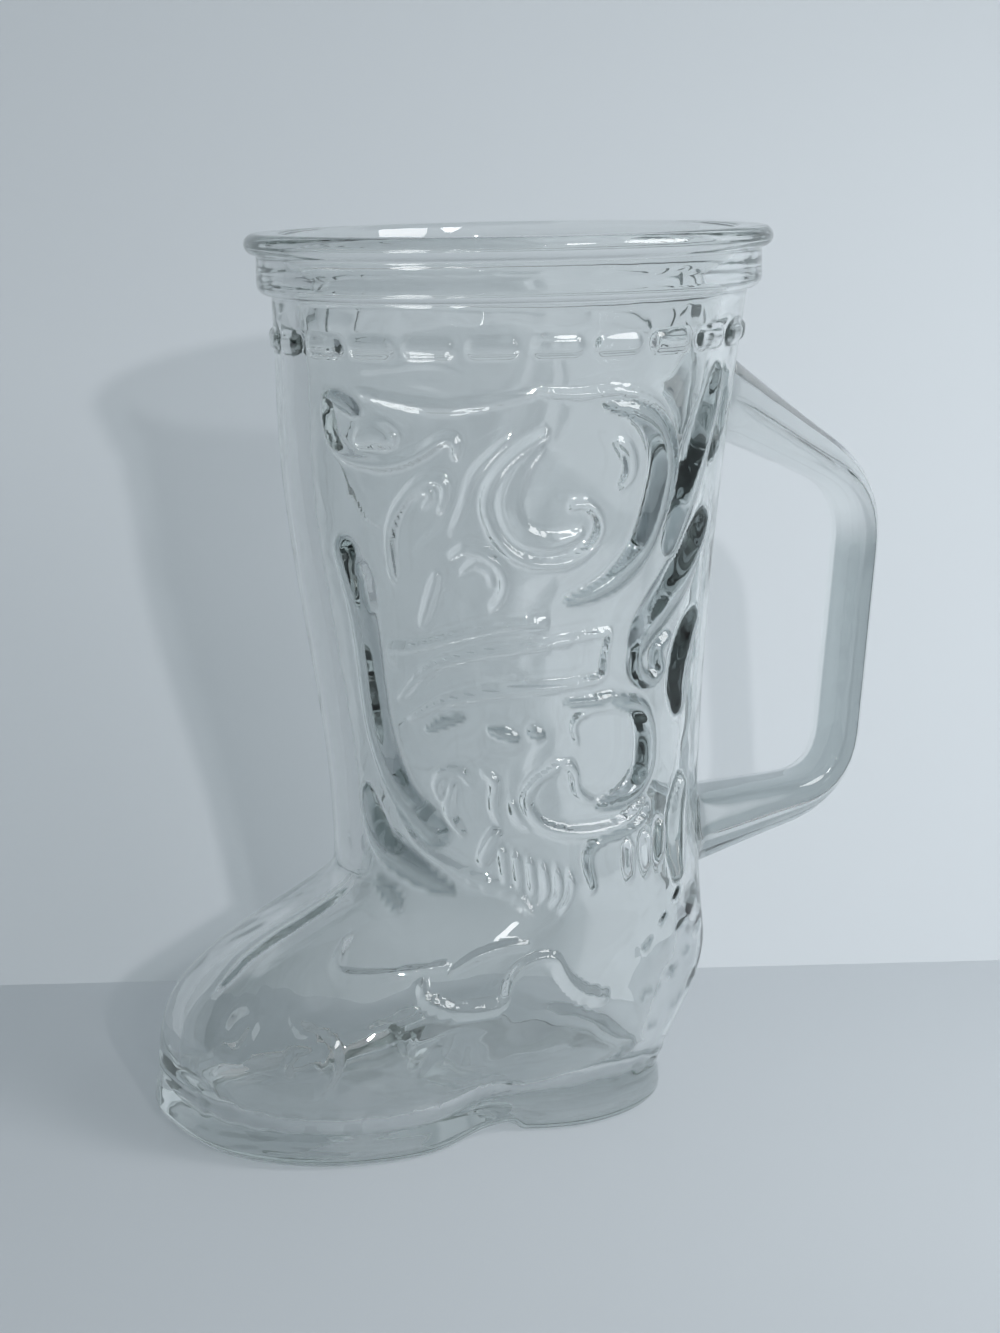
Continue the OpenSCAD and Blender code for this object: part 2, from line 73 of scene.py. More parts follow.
# Fineness of the mesh: columns outside and inside, closer together on the near side by a share about a
# turn, and gaps between rows on the leg, the foot, the inside and the handle's bar
OUTER_COLUMNS, INNER_COLUMNS = 336, 168
NEAR_SHARE, NEAR_TURN = 0.55, math.radians(-42)
LEG_GAP, FOOT_GAP, INNER_GAP, BAR_GAP = 0.6 * MM, 1.15 * MM, 6 * MM, 2.4 * MM
# Where the outer face starts below the collar and ends above the sole
TOP_GAP, LOW_GAP = 1.2 * MM, 0.3 * MM

# Powers that shape the instep, the calf, the leg's sides and the foot's plan, and the share of the width
# that the waist takes away
TOE_POWER, CALF_POWER, SIDE_POWER, FOOT_POWER = 2.2, 1.6, 1.4, 2.8
WAIST_SHARE = 0.22
# Powers of the handle's section, nearly square inside the loop and bevelled outside, and of its flare
INNER_POWER, OUTER_POWER, FLARE_POWER = 3.6, 1.1, 1.3
# Samples along an elbow of the handle, and along the front of the boot where rows are spread
ELBOW_STEPS, SPREAD_STEPS = 40, 4000
# Heights of the sole's upright edge: steps below the welt in millimetres, and a share of the heel's height
EDGE_STEPS_MM, EDGE_SHARE = (0.5, 1.3, 2.1), 0.66
# Turns in degrees along the rounded corner inside the foot and along the sole's lower edge
CORNER_TURNS, EDGE_TURNS = (6, 18, 30, 42, 54, 66, 78), (0, 18, 36, 54, 72, 90)
# Rings of the floor and of the underside, as shares of the way from their middle to their edge
FLOOR_RINGS, UNDER_RINGS = (0.1, 0.3, 0.48), (0.97, 0.85, 0.65, 0.4, 0.15)
# Rounding where the collar meets the lip and the leg
SOFT_R = 0.5 * MM


def length(name, size_mm, description):
    return FloatProperty(name=name, description=description, default=size_mm * MM, unit="LENGTH",
                         subtype="DISTANCE", precision=5)


def colour(name, value, description):
    return FloatVectorProperty(name=name, description=description, default=value, size=4, min=0, max=1,
                               subtype="COLOR")


class BootSizes(bpy.types.PropertyGroup):
    """Sizes of the glass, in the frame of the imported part"""
    wall_t: length("Wall", 4.2, "Thickness of the glass wall")
    leg_d: length("Leg", 81, "Diameter of the leg where it meets the collar")
    mouth_step: length("Mouth step", 2.2, "How far the mouth stands back from the bore of the leg")
    collar_r: length("Collar edge", 2, "Radius of the collar's rounded lower edge")
    ankle_front: length("Ankle front", 33, "Reach of the ankle in front of the leg's axis")
    ankle_back: length("Ankle back", 32, "Reach of the ankle behind the axis")
    ankle_w: length("Ankle width", 59, "Width across the ankle")
    shin_drop: length("Shin drop", 21.5, "Distance below the collar at which the shin is at full depth")
    toe_reach: length("Toe", 65, "Reach of the toe in front of the axis")
    ball_w: length("Ball", 64, "Width across the ball of the foot")
    instep_drop: length("Instep drop", 4, "Distance below the ankle at which the instep meets the shin")
    counter_reach: length("Counter", 32.3, "Reach of the heel counter behind the axis")
    counter_z: length("Counter height", 27, "Height at which the counter stands out most")
    heel_reach: length("Heel", 18.5, "Reach of the tucked-in heel behind the axis")
    waist_x: length("Waist", 19, "Distance of the waist in front of the axis")
    waist_l: length("Waist length", 11, "Length over which the waist is drawn in")
    welt_w: length("Welt", 0.7, "How far the sole stands out from the upper")
    breast_x: length("Heel breast", 13, "Distance of the heel's front face in front of the axis")
    arch_h: length("Arch", 1.6, "Rise of the sole at its waist end")
    toe_spring: length("Toe spring", 0.6, "Rise of the sole at the tip of the toe")
    spring_l: length("Spring length", 18, "Length of toe over which the sole rises")
    cove_h: length("Cove", 3.6, "Half the height over which the foot flares out to the sole")
    edge_r: length("Sole edge", 2.4, "Radius of the sole's rounded lower edge")
    floor_r: length("Floor corner", 8, "Radius of the rounded corner inside the foot")
    ball_drop: length("Ball drop", 3, "How much thinner the floor is under the ball than under the heel")
    relief_h: length("Relief", 1.6, "Height of the raised ornament")
    stitch_drop: length("Stitch drop", 7.2, "Distance from the collar down to the row of stitches")
    stitch_l: length("Stitch length", 8.8, "Length of one stitch round the leg")
    stitch_w: length("Stitch width", 3.4, "Width of one stitch")
    stitch_h: length("Stitch height", 0.75, "Height of one stitch")
    ripple_h: length("Ripple", 0.05, "Height of the slow ripples that moulding leaves in the glass")


class HandleSizes(bpy.types.PropertyGroup):
    """Sizes of the loop handle"""
    reach: length("Reach", 76.5, "Reach of the upper elbow behind the axis")
    root_drop: length("Upper root", 11, "Distance of the upper root below the row of stitches")
    low_drop: length("Lower root", 4.5, "Distance of the lower root below the ankle")
    upper_drop: length("Upper arm", 20, "Drop of the upper arm from root to elbow")
    lower_rise: length("Lower arm", 4.5, "Rise of the lower arm from root to elbow")
    lean: length("Lean", 6.5, "How much further out the upper elbow stands than the lower one")
    bar_t: length("Bar thickness", 8, "Thickness of the bar, seen from the side")
    bar_w: length("Bar width", 11, "Width of the bar, seen from behind")
    flare: length("Flare", 7, "Extra thickness and width at the roots")
    flare_l: length("Flare length", 34, "Length over which the flare runs out")
    elbow_l: length("Elbow", 11, "Length of straight that each elbow's curve takes up")
    fillet_r: length("Fillet", 1.8, "Radius of the fillet where a root meets the wall")
    settle_l: length("Settling", 8, "Length over which a root takes the wall's shape")


class GlassLook(bpy.types.PropertyGroup):
    """Colours of the glass, with the tint of its painted shade"""
    tint: colour("Tint", (0.965, 0.97, 0.968, 1), "Colour of clear glass")
    deep_tint: colour("Deep tint", (0.94, 0.955, 0.95, 1), "Colour where the melt was a little greener")
    # Painted shade: a dark grey-green tint on the near side's roof strokes and the handle's outer bevel,
    # standing in for the dark that the glass bends into view there
    painted_shade_tint: colour("Painted shade tint", (0.24, 0.3, 0.31, 1), "Colour of the deep strokes and the handle's bevel")
    body_tint: colour("Body tint", (0.66, 0.72, 0.7, 1), "Colour that thick glass absorbs towards")
    shade: colour("Shade", (0.78, 0.79, 0.79, 1), "Share of a lamp's light that each face lets through")
    glow: colour("Glow", (0.98, 0.98, 0.98, 1), "Share of the boards' light that each face lets through")
    absorb: FloatProperty(name="Absorption", description="How strongly thick glass takes up light, per metre",
                          default=12, min=0)


class StageLook(bpy.types.PropertyGroup):
    """Colours and places of the studio"""
    board: colour("Board", (0.64, 0.69, 0.73, 1), "Colour of the floor and the wall")
    room: colour("Room", (0.035, 0.045, 0.045, 1), "Colour of the dim side of the room")
    sky: colour("Sky", (0.4, 0.43, 0.455, 1), "Colour of the light side of the room")
    wall_gap: length("Wall gap", 68.3, "Distance from the axis to the wall behind")
    camera_d: length("Camera distance", 520, "Distance of the camera from the axis")
    camera_h: length("Camera height", 165.8, "Height of the camera above the floor")


def smooth(share):
    u = np.clip(share, 0, 1)
    return u * u * (3 - 2 * u)


def signed_power(share, power):
    return np.sign(share) * np.abs(share) ** power


def turns(count):
    """Angles of the columns, from the back round the far side, the toe and the near side."""
    u = np.linspace(0, 2 * math.pi, count, endpoint=False)
    return u + NEAR_SHARE * (math.cos(NEAR_TURN) - np.cos(u - NEAR_TURN))


class Form:
    """Outline of the boot at every height, in metres from the leg's axis, as the CAD has it."""

    def __init__(self, sizes):
        self.s = sizes
        self.leg_r = sizes.leg_d / 2
        self.bore_r = self.leg_r - sizes.wall_t
        self.shin_z = COLLAR_Z - sizes.shin_drop
        self.instep_z = ANKLE_Z - sizes.instep_drop
        self.stitch_z = COLLAR_Z - sizes.stitch_drop

    def climb(self, z):
        return np.clip((z - ANKLE_Z) / LEG_H, 0, 1)

    def front(self, z):
        s = self.s
        shin = s.ankle_front + (self.leg_r - s.ankle_front) * smooth((z - ANKLE_Z) / (self.shin_z - ANKLE_Z))
        rise = np.maximum((z - SOLE_Z) / (self.instep_z - SOLE_Z), 0)
        return shin + (s.toe_reach - s.ankle_front) * (1 - smooth(rise ** TOE_POWER))

    def back(self, z):
        s = self.s
        calf = s.ankle_back + (self.leg_r - s.ankle_back) * self.climb(z) ** CALF_POWER
        heel = (s.heel_reach + (s.counter_reach - s.heel_reach) * smooth(z / s.counter_z)
                + (s.ankle_back - s.counter_reach) * smooth((z - s.counter_z) / (ANKLE_Z - s.counter_z)))
        return np.where(z >= ANKLE_Z, calf, heel)

    def half_width(self, z):
        s = self.s
        return (s.ankle_w / 2 + (self.leg_r - s.ankle_w / 2) * self.climb(z) ** SIDE_POWER
                + (s.ball_w - s.ankle_w) / 2 * (1 - smooth((z - SOLE_Z) / FOOT_H)))

    def power(self, z):
        return 2 + (FOOT_POWER - 2) * (1 - smooth((z - SOLE_Z) / FOOT_H))

    def place(self, unit_x, unit_y, z, grow_front=0, grow_back=0, grow_side=0):
        """Points at height z for shares of the outline's reach along X and Y."""
        s = self.s
        f, b = self.front(z) + grow_front, self.back(z) + grow_back
        x = (b - f) / 2 + (b + f) / 2 * unit_x
        draw = WAIST_SHARE * (1 - smooth(z / s.counter_z)) * np.exp(-((x + s.waist_x) / s.waist_l) ** 2)
        y = (self.half_width(z) * (1 - draw) + grow_side) * unit_y
        return np.stack(np.broadcast_arrays(x, y, z), axis=-1)

    def columns(self, z, count=OUTER_COLUMNS):
        """Shares of the outline's reach at each column, for the mesh's rows."""
        turn = turns(count)
        p = self.power(z)
        a, h = (self.front(z) + self.back(z)) / 2, self.half_width(z)
        r = (np.abs(np.cos(turn) / a) ** p + np.abs(np.sin(turn) / h) ** p) ** (-1 / p)
        return r * np.cos(turn) / a, r * np.sin(turn) / h

    def rows(self, z):
        z = np.asarray(z)[:, None]
        return self.place(*self.columns(z), z)

    def slant(self, reach, z):
        step = 0.2 * MM
        return np.sqrt(1 + ((reach(z + step) - reach(np.maximum(z - step, SOLE_Z))) / (2 * step)) ** 2)

    def inner_rows(self, z, count):
        z = np.asarray(z)[:, None]
        t = self.s.wall_t
        shares = self.columns(z, count)
        return self.place(*shares, z, -t * self.slant(self.front, z), -t * self.slant(self.back, z), -t)

    def on_wall(self, turn, z):
        """Points on the outer face at a turn in degrees: 0 at the back, 180 at the toe."""
        t, p = np.radians(turn), 2 / self.power(z)
        return self.place(signed_power(np.cos(t), p), signed_power(np.sin(t), p), z)

    def cove(self, z):
        """How far the foot has flared out towards the sole at a height."""
        return self.s.welt_w * smooth((SOLE_Z + self.s.cove_h - z) / (2 * self.s.cove_h))

    def sole_ring(self, inset):
        grow = self.s.welt_w - inset
        z = np.array([[SOLE_Z]])
        return self.place(*self.columns(z), z, grow, grow, grow)[0]

    def underside(self, x):
        """Height of the sole's underside: sprung at the toe, arched to the waist, flat under the heel."""
        s = self.s
        spring = s.toe_spring * smooth(1 - (s.toe_reach + s.welt_w + x) / s.spring_l)
        arch = s.arch_h * smooth((x + s.waist_x + s.waist_l) / (s.waist_x + s.waist_l - s.breast_x))
        return spring + arch * (1 - smooth((x + s.breast_x + s.edge_r) / s.edge_r))

    def wall_reach(self, y, z):
        """Reach of the outer face behind the axis, y away from the middle plane."""
        p = self.power(z)
        mid, a = (self.back(z) - self.front(z)) / 2, (self.back(z) + self.front(z)) / 2
        return mid + a * (1 - (np.abs(y) / self.half_width(z)) ** p) ** (1 / p)


# Ornament: each stroke is a raised line with the power that rounds its top, its width in millimetres, its
# height as a share of the relief's, its width at the ends as a share of the middle's, and places in
# thousandths of the way round from the shin's middle to the back and of the leg's or the foot's height
# Powers of the profiles: round ridge, pillow, flat band and roof. Roof strokes on the near side also get
# painted shade, a darker tint for the dark that the glass bends into view there
RIDGE, PILLOW, BAND, SHADED_ROOF = 2, 2.5, 4, 1.5
LEG_STROKES = [
    # upper leaf, the drops in its crook and the lead line over it
    (RIDGE, 2.6, 1.2, 0.6, [(90, 840), (92, 805), (100, 768), (118, 743), (145, 730), (170, 725), (197, 724),
        (225, 732), (250, 748), (270, 765), (286, 770), (295, 758), (294, 742)]),
    (PILLOW, 5.2, 1.0, 0.7, [(155, 765), (178, 776), (200, 768)]),
    (SHADED_ROOF, 3.4, 0.9, 0.6, [(102, 838), (130, 825), (145, 812)]),
    (RIDGE, 2.2, 0.5, 0.4, [(150, 845), (210, 832), (270, 822), (330, 830), (400, 846)]),
    # great scroll: outer line, crescent with its horn, and the inner coil with a band beside it
    (RIDGE, 2.0, 1.1, 0.5, [(400, 846), (450, 840), (500, 845), (542, 832), (578, 805), (602, 765),
        (615, 710), (614, 660), (602, 610)]),
    (SHADED_ROOF, 6.4, 1.2, 0.15, [(490, 820), (540, 805), (576, 770), (595, 715), (594, 660), (584, 605),
        (566, 558), (530, 515), (490, 490), (448, 476)]),
    (RIDGE, 2.6, 1.2, 0.6, [(410, 775), (375, 745), (348, 705), (336, 662), (340, 630), (352, 597),
        (373, 567), (400, 551), (430, 547), (460, 554), (485, 575), (497, 605), (490, 633), (474, 648),
        (454, 648)]),
    (BAND, 4.6, 0.8, 0.3, [(405, 755), (382, 720), (367, 670), (370, 630), (385, 600), (410, 585), (440, 583),
        (470, 598)]),
    (PILLOW, 3.2, 0.7, 0.5, [(515, 755), (533, 735), (540, 700), (528, 675)]),
    # leaves in front of the great scroll
    (RIDGE, 2.4, 1.1, 0.5, [(196, 520), (195, 575), (200, 615), (212, 648), (229, 676), (247, 695),
        (265, 701), (279, 692), (281, 672), (274, 645)]),
    (RIDGE, 2.0, 0.7, 0.4, [(236, 665), (250, 683), (262, 670), (250, 650)]),
    (RIDGE, 2.2, 0.7, 0.3, [(365, 770), (337, 735), (317, 700), (306, 650), (288, 600)]),
    (RIDGE, 2.4, 0.9, 0.4, [(235, 440), (247, 475), (258, 510), (265, 535)]),
    (RIDGE, 2.6, 1.1, 0.5, [(288, 565), (306, 577), (330, 569), (351, 550), (361, 520), (355, 490),
        (343, 472)]),
    (RIDGE, 2.0, 0.7, 0.4, [(300, 535), (320, 550), (340, 537), (343, 512)]),
    # vine at the back of the side
    (SHADED_ROOF, 9.2, 1.2, 0.25, [(700, 865), (690, 800), (672, 720), (652, 640), (628, 550)]),
    (SHADED_ROOF, 2.6, 0.8, 0.5, [(730, 860), (735, 780), (720, 700)]),
    (SHADED_ROOF, 8.8, 1.2, 0.3, [(720, 600), (690, 545), (655, 495), (615, 450), (583, 410), (570, 372)]),
    (SHADED_ROOF, 3.8, 1.1, 0.6, [(575, 400), (567, 365), (573, 333), (597, 318), (618, 335), (613, 370),
        (635, 395)]),
    (SHADED_ROOF, 8.0, 1.0, 0.3, [(720, 420), (690, 375), (675, 310), (680, 250)]),
    # sweeps beside the shin, and the thin line along them
    (SHADED_ROOF, 6.4, 1.3, 0.95, [(112, 565), (122, 510), (130, 450), (132, 380), (130, 310), (131, 250),
        (140, 200), (155, 155), (177, 115), (202, 85), (226, 60)]),
    (RIDGE, 1.8, 0.9, 0.5, [(142, 548), (152, 515), (154, 460)]),
    (SHADED_ROOF, 6.6, 1.3, 0.15, [(84, 130), (92, 85), (110, 43), (140, 15), (180, -7), (220, -30), (256, -46)]),
    (RIDGE, 1.9, 0.9, 0.4, [(155, 100), (175, 63), (200, 33), (250, 0), (310, -30), (360, -52), (410, -85)]),
    (SHADED_ROOF, 3.8, 0.8, 0.2, [(93, -43), (140, -60), (190, -83)]),
    # edges of the ribbon
    (RIDGE, 2.0, 1.1, 0.5, [(176, 365), (178, 395), (210, 398), (250, 410), (300, 425), (350, 437),
        (420, 443)]),
    (RIDGE, 2.0, 1.1, 0.5, [(185, 305), (220, 345), (255, 370), (300, 385), (345, 395), (400, 400),
        (450, 408), (520, 418)]),
    (RIDGE, 2.0, 1.1, 0.5, [(520, 418), (511, 370), (502, 335), (430, 326), (360, 322), (300, 312),
        (250, 297), (200, 268)]),
    (SHADED_ROOF, 2.4, 0.9, 0.2, [(222, 247), (255, 265), (290, 276)]),
    (SHADED_ROOF, 2.6, 0.8, 0.3, [(325, 252), (350, 243), (372, 234)]),
    (SHADED_ROOF, 2.6, 0.8, 0.3, [(388, 247), (410, 238)]),
    # lower scroll: top line, crescent, the line round its clear middle, and the hook
    (SHADED_ROOF, 2.2, 1.0, 0.4, [(445, 294), (480, 293), (522, 297), (560, 290)]),
    (SHADED_ROOF, 5.4, 1.3, 0.3, [(530, 290), (574, 272), (592, 236), (596, 195), (592, 157), (574, 126), (545, 108),
        (500, 100)]),
    (RIDGE, 1.6, 0.8, 0.6, [(464, 222), (458, 252), (475, 272), (515, 280), (548, 270)]),
    (RIDGE, 2.0, 0.9, 0.5, [(500, 106), (478, 114), (462, 135), (458, 165), (448, 180), (428, 180),
        (410, 170)]),
    (RIDGE, 2.6, 1.2, 0.5, [(430, 175), (398, 157), (380, 126), (387, 95), (410, 70), (455, 55), (510, 55),
        (558, 70), (592, 100)]),
    # small leaves under the ribbon
    (RIDGE, 2.4, 0.8, 0.4, [(240, 120), (234, 150), (250, 172), (275, 174), (290, 155)]),
    (RIDGE, 2.4, 0.8, 0.4, [(262, 150), (252, 115), (257, 85), (275, 60)]),
    (RIDGE, 2.4, 0.7, 0.3, [(310, 175), (330, 155), (327, 110), (335, 80)]),
    (RIDGE, 2.2, 0.7, 0.4, [(355, 120), (365, 90), (385, 70)]),
    (PILLOW, 3.4, 1.1, 0.8, [(328, 60), (316, 32), (308, 14)]),
    # hook and drops over the heel
    (SHADED_ROOF, 2.6, 1.1, 0.5, [(495, -50), (485, -10), (487, 18), (510, 36), (555, 46), (588, 62), (602, 85)]),
    (PILLOW, 2.8, 1.0, 0.6, [(562, 20), (563, -35)]),
    (PILLOW, 2.8, 1.0, 0.6, [(600, 30), (600, -30)]),
    (PILLOW, 3.0, 1.0, 0.5, [(635, 50), (632, -20)]),
    (PILLOW, 6.0, 1.2, 0.2, [(700, 120), (685, 60), (685, -10), (690, -70)]),
]
FOOT_STROKES = [
    # edge of the vamp, its scallops and the leaf over them
    (RIDGE, 1.8, 0.7, 0.6, [(155, 720), (188, 657), (225, 607), (270, 600), (320, 613), (365, 630)]),
    (RIDGE, 1.9, 0.9, 0.7, [(355, 577), (380, 515), (410, 475), (435, 455), (462, 447), (481, 460),
        (476, 510), (471, 560), (474, 605), (490, 622), (506, 605), (520, 550), (536, 490), (557, 440),
        (582, 415)]),
    (RIDGE, 2.0, 0.7, 0.4, [(385, 610), (400, 660), (430, 685), (457, 680)]),
    # curls and sweep on the toe, shallow as they are there
    (PILLOW, 2.2, 0.35, 0.5, [(100, 320), (145, 330), (155, 420), (125, 480), (95, 440), (105, 390)]),
    (PILLOW, 2.2, 0.35, 0.5, [(225, 170), (285, 170), (310, 260), (280, 340), (240, 300), (250, 240)]),
    (PILLOW, 2.4, 0.45, 0.4, [(195, 497), (235, 420), (290, 365), (315, 280)]),
    (PILLOW, 5.0, 0.35, 0.3, [(20, 870), (16, 740), (12, 620), (30, 500)]),
]
# Upright bars of the fringe under the low scroll: first and last place, how many, their lean and drop,
# their width in millimetres, and their height and end width as shares
FRINGE_ENDS = [(0.338, 0.03), (0.452, -0.03)]
FRINGE_COUNT, FRINGE_LEAN, FRINGE_DROP = 6, 0.006, 0.05
FRINGE_W, FRINGE_SHARE, FRINGE_END = 2.0, 0.8, 0.8
# Rows of short stitches, three on the counter and one above the welt: first and last place, how many
# and their power; and a stitch's reach, width in millimetres, height and end width
STITCH_ROWS = [((0.645, 0.59), (0.7, 0.77), 3, SHADED_ROOF), ((0.655, 0.39), (0.79, 0.56), 4, SHADED_ROOF),
               ((0.645, 0.17), (0.8, 0.36), 4, SHADED_ROOF), ((0.06, 0.07), (0.9, 0.07), 14, PILLOW)]
STITCH_REACH, STITCH_W, STITCH_SHARE, STITCH_END = 0.2, 1.5, 0.2, 0.8
# Stitches round the top of the leg, and samples along each
BAND_COUNT, DASH_STEPS = 24, 24
# Painted shade on a near-side roof stroke, a darker tint for the dark that the glass bends into view: the
# share of its width over which it comes in, and how dark it is on the crest
SHADE_EDGE, SHADE_CREST = 0.25, 0.5
# Seam down the shin: width and gap between samples in millimetres, and height as a share
SEAM_W, SEAM_GAP, SEAM_SHARE = 11, 0.3, 0.2
# How fast a stroke swells from its ends
SWELL_POWER = 0.6
# The far side's outline beside the shin is plain: only strokes further round are on that side, and lower
FAR_FROM, FAR_SHARE, FAR_FOOT_SHARE = 0.3, 0.35, 0.15


def through(places, gap_share=0.004):
    """Even samples of a smooth path through given places."""
    pts = np.array(places, float)
    ends = np.vstack([2 * pts[0] - pts[1], pts, 2 * pts[-1] - pts[-2]])
    path = []
    for k in range(len(pts) - 1):
        a, b, c, d = ends[k:k + 4]
        steps = max(int(np.linalg.norm(c - b) / gap_share), 2)
        for s in np.arange(steps) / steps:
            path.append(0.5 * (2 * b + (c - a) * s + (2 * a - 5 * b + 4 * c - d) * s ** 2
                               + (3 * b - a - 3 * c + d) * s ** 3))
    return np.array(path + [pts[-1]])


def stroke(form, base_z, span, power, width_mm, rise_share, end_share, places):
    """Samples of one raised line on the wall: points, half widths, heights and power."""
    path = through(places)
    points = form.on_wall(180 + 180 * path[:, 0], base_z + span * path[:, 1])
    swell = end_share + (1 - end_share) * np.sin(np.pi * np.linspace(0, 1, len(path))) ** SWELL_POWER
    return points, swell * width_mm * MM / 2, np.sqrt(swell) * rise_share * form.s.relief_h, power


def dash(form, turn, z, dash_l, width, rise):
    """Samples of one short level stitch."""
    middle = form.on_wall(np.array([turn - 0.5, turn + 0.5]), np.array([z, z]))
    half_turn = (dash_l - width) / 2 / np.linalg.norm(middle[1] - middle[0])
    angles = np.linspace(turn - half_turn, turn + half_turn, DASH_STEPS)
    points = form.on_wall(angles, np.full_like(angles, z))
    return points, np.full(DASH_STEPS, width / 2), np.full(DASH_STEPS, rise), BAND


def ornament(form):
    """All raised lines: those of the near side, their like on the far side, and those that go right round."""
    s = form.s
    near = []
    for base_z, span, table in ((ANKLE_Z, LEG_H, LEG_STROKES), (SOLE_Z, FOOT_H, FOOT_STROKES)):
        near += [stroke(form, base_z, span, *shape, np.array(places) / 1000) for *shape, places in table]
    for g, c in np.linspace(*FRINGE_ENDS, FRINGE_COUNT):
        places = [(g, c), (g + FRINGE_LEAN, c - FRINGE_DROP)]
        near.append(stroke(form, ANKLE_Z, LEG_H, PILLOW, FRINGE_W, FRINGE_SHARE, FRINGE_END, places))
    first_turn = 180 + 180 * FAR_FROM
    lines = list(near)
    for points, widths, rises, power in near:
        if np.all(points[:, 0] > form.on_wall(first_turn, points[:, 2])[:, 0]):
            share = FAR_SHARE if points[:, 2].mean() > form.instep_z else FAR_FOOT_SHARE
            lines.append((points * (1, -1, 1), widths, rises * share, power))
    for first, last, count, power in STITCH_ROWS:
        step = np.subtract(last, first) / (count - 1)
        for middle in np.linspace(first, last, count):
            places = [middle - step * STITCH_REACH, middle + step * STITCH_REACH]
            lines.append(stroke(form, SOLE_Z, FOOT_H, power, STITCH_W, STITCH_SHARE, STITCH_END, places))
    for k in range(BAND_COUNT):
        lines.append(dash(form, 360 * k / BAND_COUNT, form.stitch_z, s.stitch_l, s.stitch_w, s.stitch_h))
    seam_z = np.arange(form.instep_z + SEAM_W * MM / 2, form.stitch_z - s.stitch_w, SEAM_GAP * MM)
    seam = form.on_wall(np.full_like(seam_z, 180), seam_z)
    width, rise = SEAM_W * MM / 2, s.relief_h * SEAM_SHARE
    lines.append((seam, np.full(len(seam), width), np.full(len(seam), rise), RIDGE))
    return lines


def relief(form, wall):
    """Height of the ornament at each point of the outer face, and the painted shade of the near side's roof
    strokes there.
    """
    flat = wall.reshape(-1, 3)
    height, painted_shade = np.zeros(len(flat)), np.zeros(len(flat))
    for points, widths, rises, power in ornament(form):
        room = widths.max()
        near = np.nonzero(np.all((flat > points.min(0) - room) & (flat < points.max(0) + room), axis=1))[0]
        if not len(near):
            continue
        away = np.linalg.norm(flat[near, None] - points[None], axis=2) / widths
        best = away.argmin(axis=1)
        share = away[np.arange(len(near)), best]
        rise = rises[best] * (1 - np.minimum(share, 1) ** power)
        height[near] = np.maximum(height[near], rise)
        # Painted shade: near-side roof strokes get a darker tint, for the dark that the glass bends into view
        if power == SHADED_ROOF and points[:, 1].mean() < 0:
            edge = smooth((1 - share) / SHADE_EDGE) * (SHADE_CREST + (1 - SHADE_CREST) * share)
            painted_shade[near] = np.maximum(painted_shade[near], edge)
    return height.reshape(wall.shape[:2]), painted_shade.reshape(wall.shape[:2])


def ripple(rows):
    """Slow, slight waves over the glass, between -1 and 1."""
    x, y, z = (rows[..., k] / MM for k in range(3))
    return (np.sin(x / 7.1 + z / 11.3) + np.sin(y / 6.3 - z / 8.7 + 1.3)
            + np.sin(z / 4.9 + x / 13 - y / 17)) / 3


def outward(rows):
    """Outward directions on a grid of rows and columns."""
    round_way = np.roll(rows, -1, axis=1) - np.roll(rows, 1, axis=1)
    n = np.cross(round_way, -np.gradient(rows, axis=0))
    return n / np.linalg.norm(n, axis=2, keepdims=True)


def spread(form, z_from, z_to, gap):
    """Heights whose rows lie about one gap apart along the front of the boot."""
    z = np.linspace(z_from, z_to, SPREAD_STEPS)
    along = np.concatenate([[0], np.cumsum(np.hypot(np.diff(z), np.diff(form.front(z))))])
    return np.interp(np.linspace(0, along[-1], int(along[-1] / gap) + 2), along, z)


def arc(centre_r, centre_z, radius, start, stop, count):
    return [(centre_r + radius * math.cos(a), centre_z + radius * math.sin(a))
            for a in np.radians(np.linspace(start, stop, count))]


def rim_profile(form):
    """Section of collar and lip, from the bore up over the lip and down to the leg."""
    s = form.s
    mouth_r = form.bore_r + s.mouth_step
    lip_h = MUG_H - LIP_Z
    bead, edge = lip_h / 2, lip_h / 3
    profile = [(form.bore_r + s.mouth_step * smooth(k), COLLAR_Z + (LIP_Z - COLLAR_Z) * k)
               for k in (0.25, 0.5, 0.75, 1)]
    profile += arc(mouth_r + edge, MUG_H - edge, edge, 165, 90, 5)
    profile += arc(LIP_R - bead, LIP_Z + bead, bead, 90, -75, 11)
    profile += arc(COLLAR_R + SOFT_R, LIP_Z - SOFT_R, SOFT_R, 90, 180, 3)
    profile += arc(COLLAR_R - s.collar_r, COLLAR_Z + s.collar_r, s.collar_r, 0, -75, 6)
    profile += arc(form.leg_r + SOFT_R, COLLAR_Z - SOFT_R, SOFT_R, 90, 180, 3)
    return profile


def turned(profile):
    turn = turns(OUTER_COLUMNS)
    return [np.stack([r * np.cos(turn), r * np.sin(turn), np.full_like(turn, z)], axis=1) for r, z in profile]


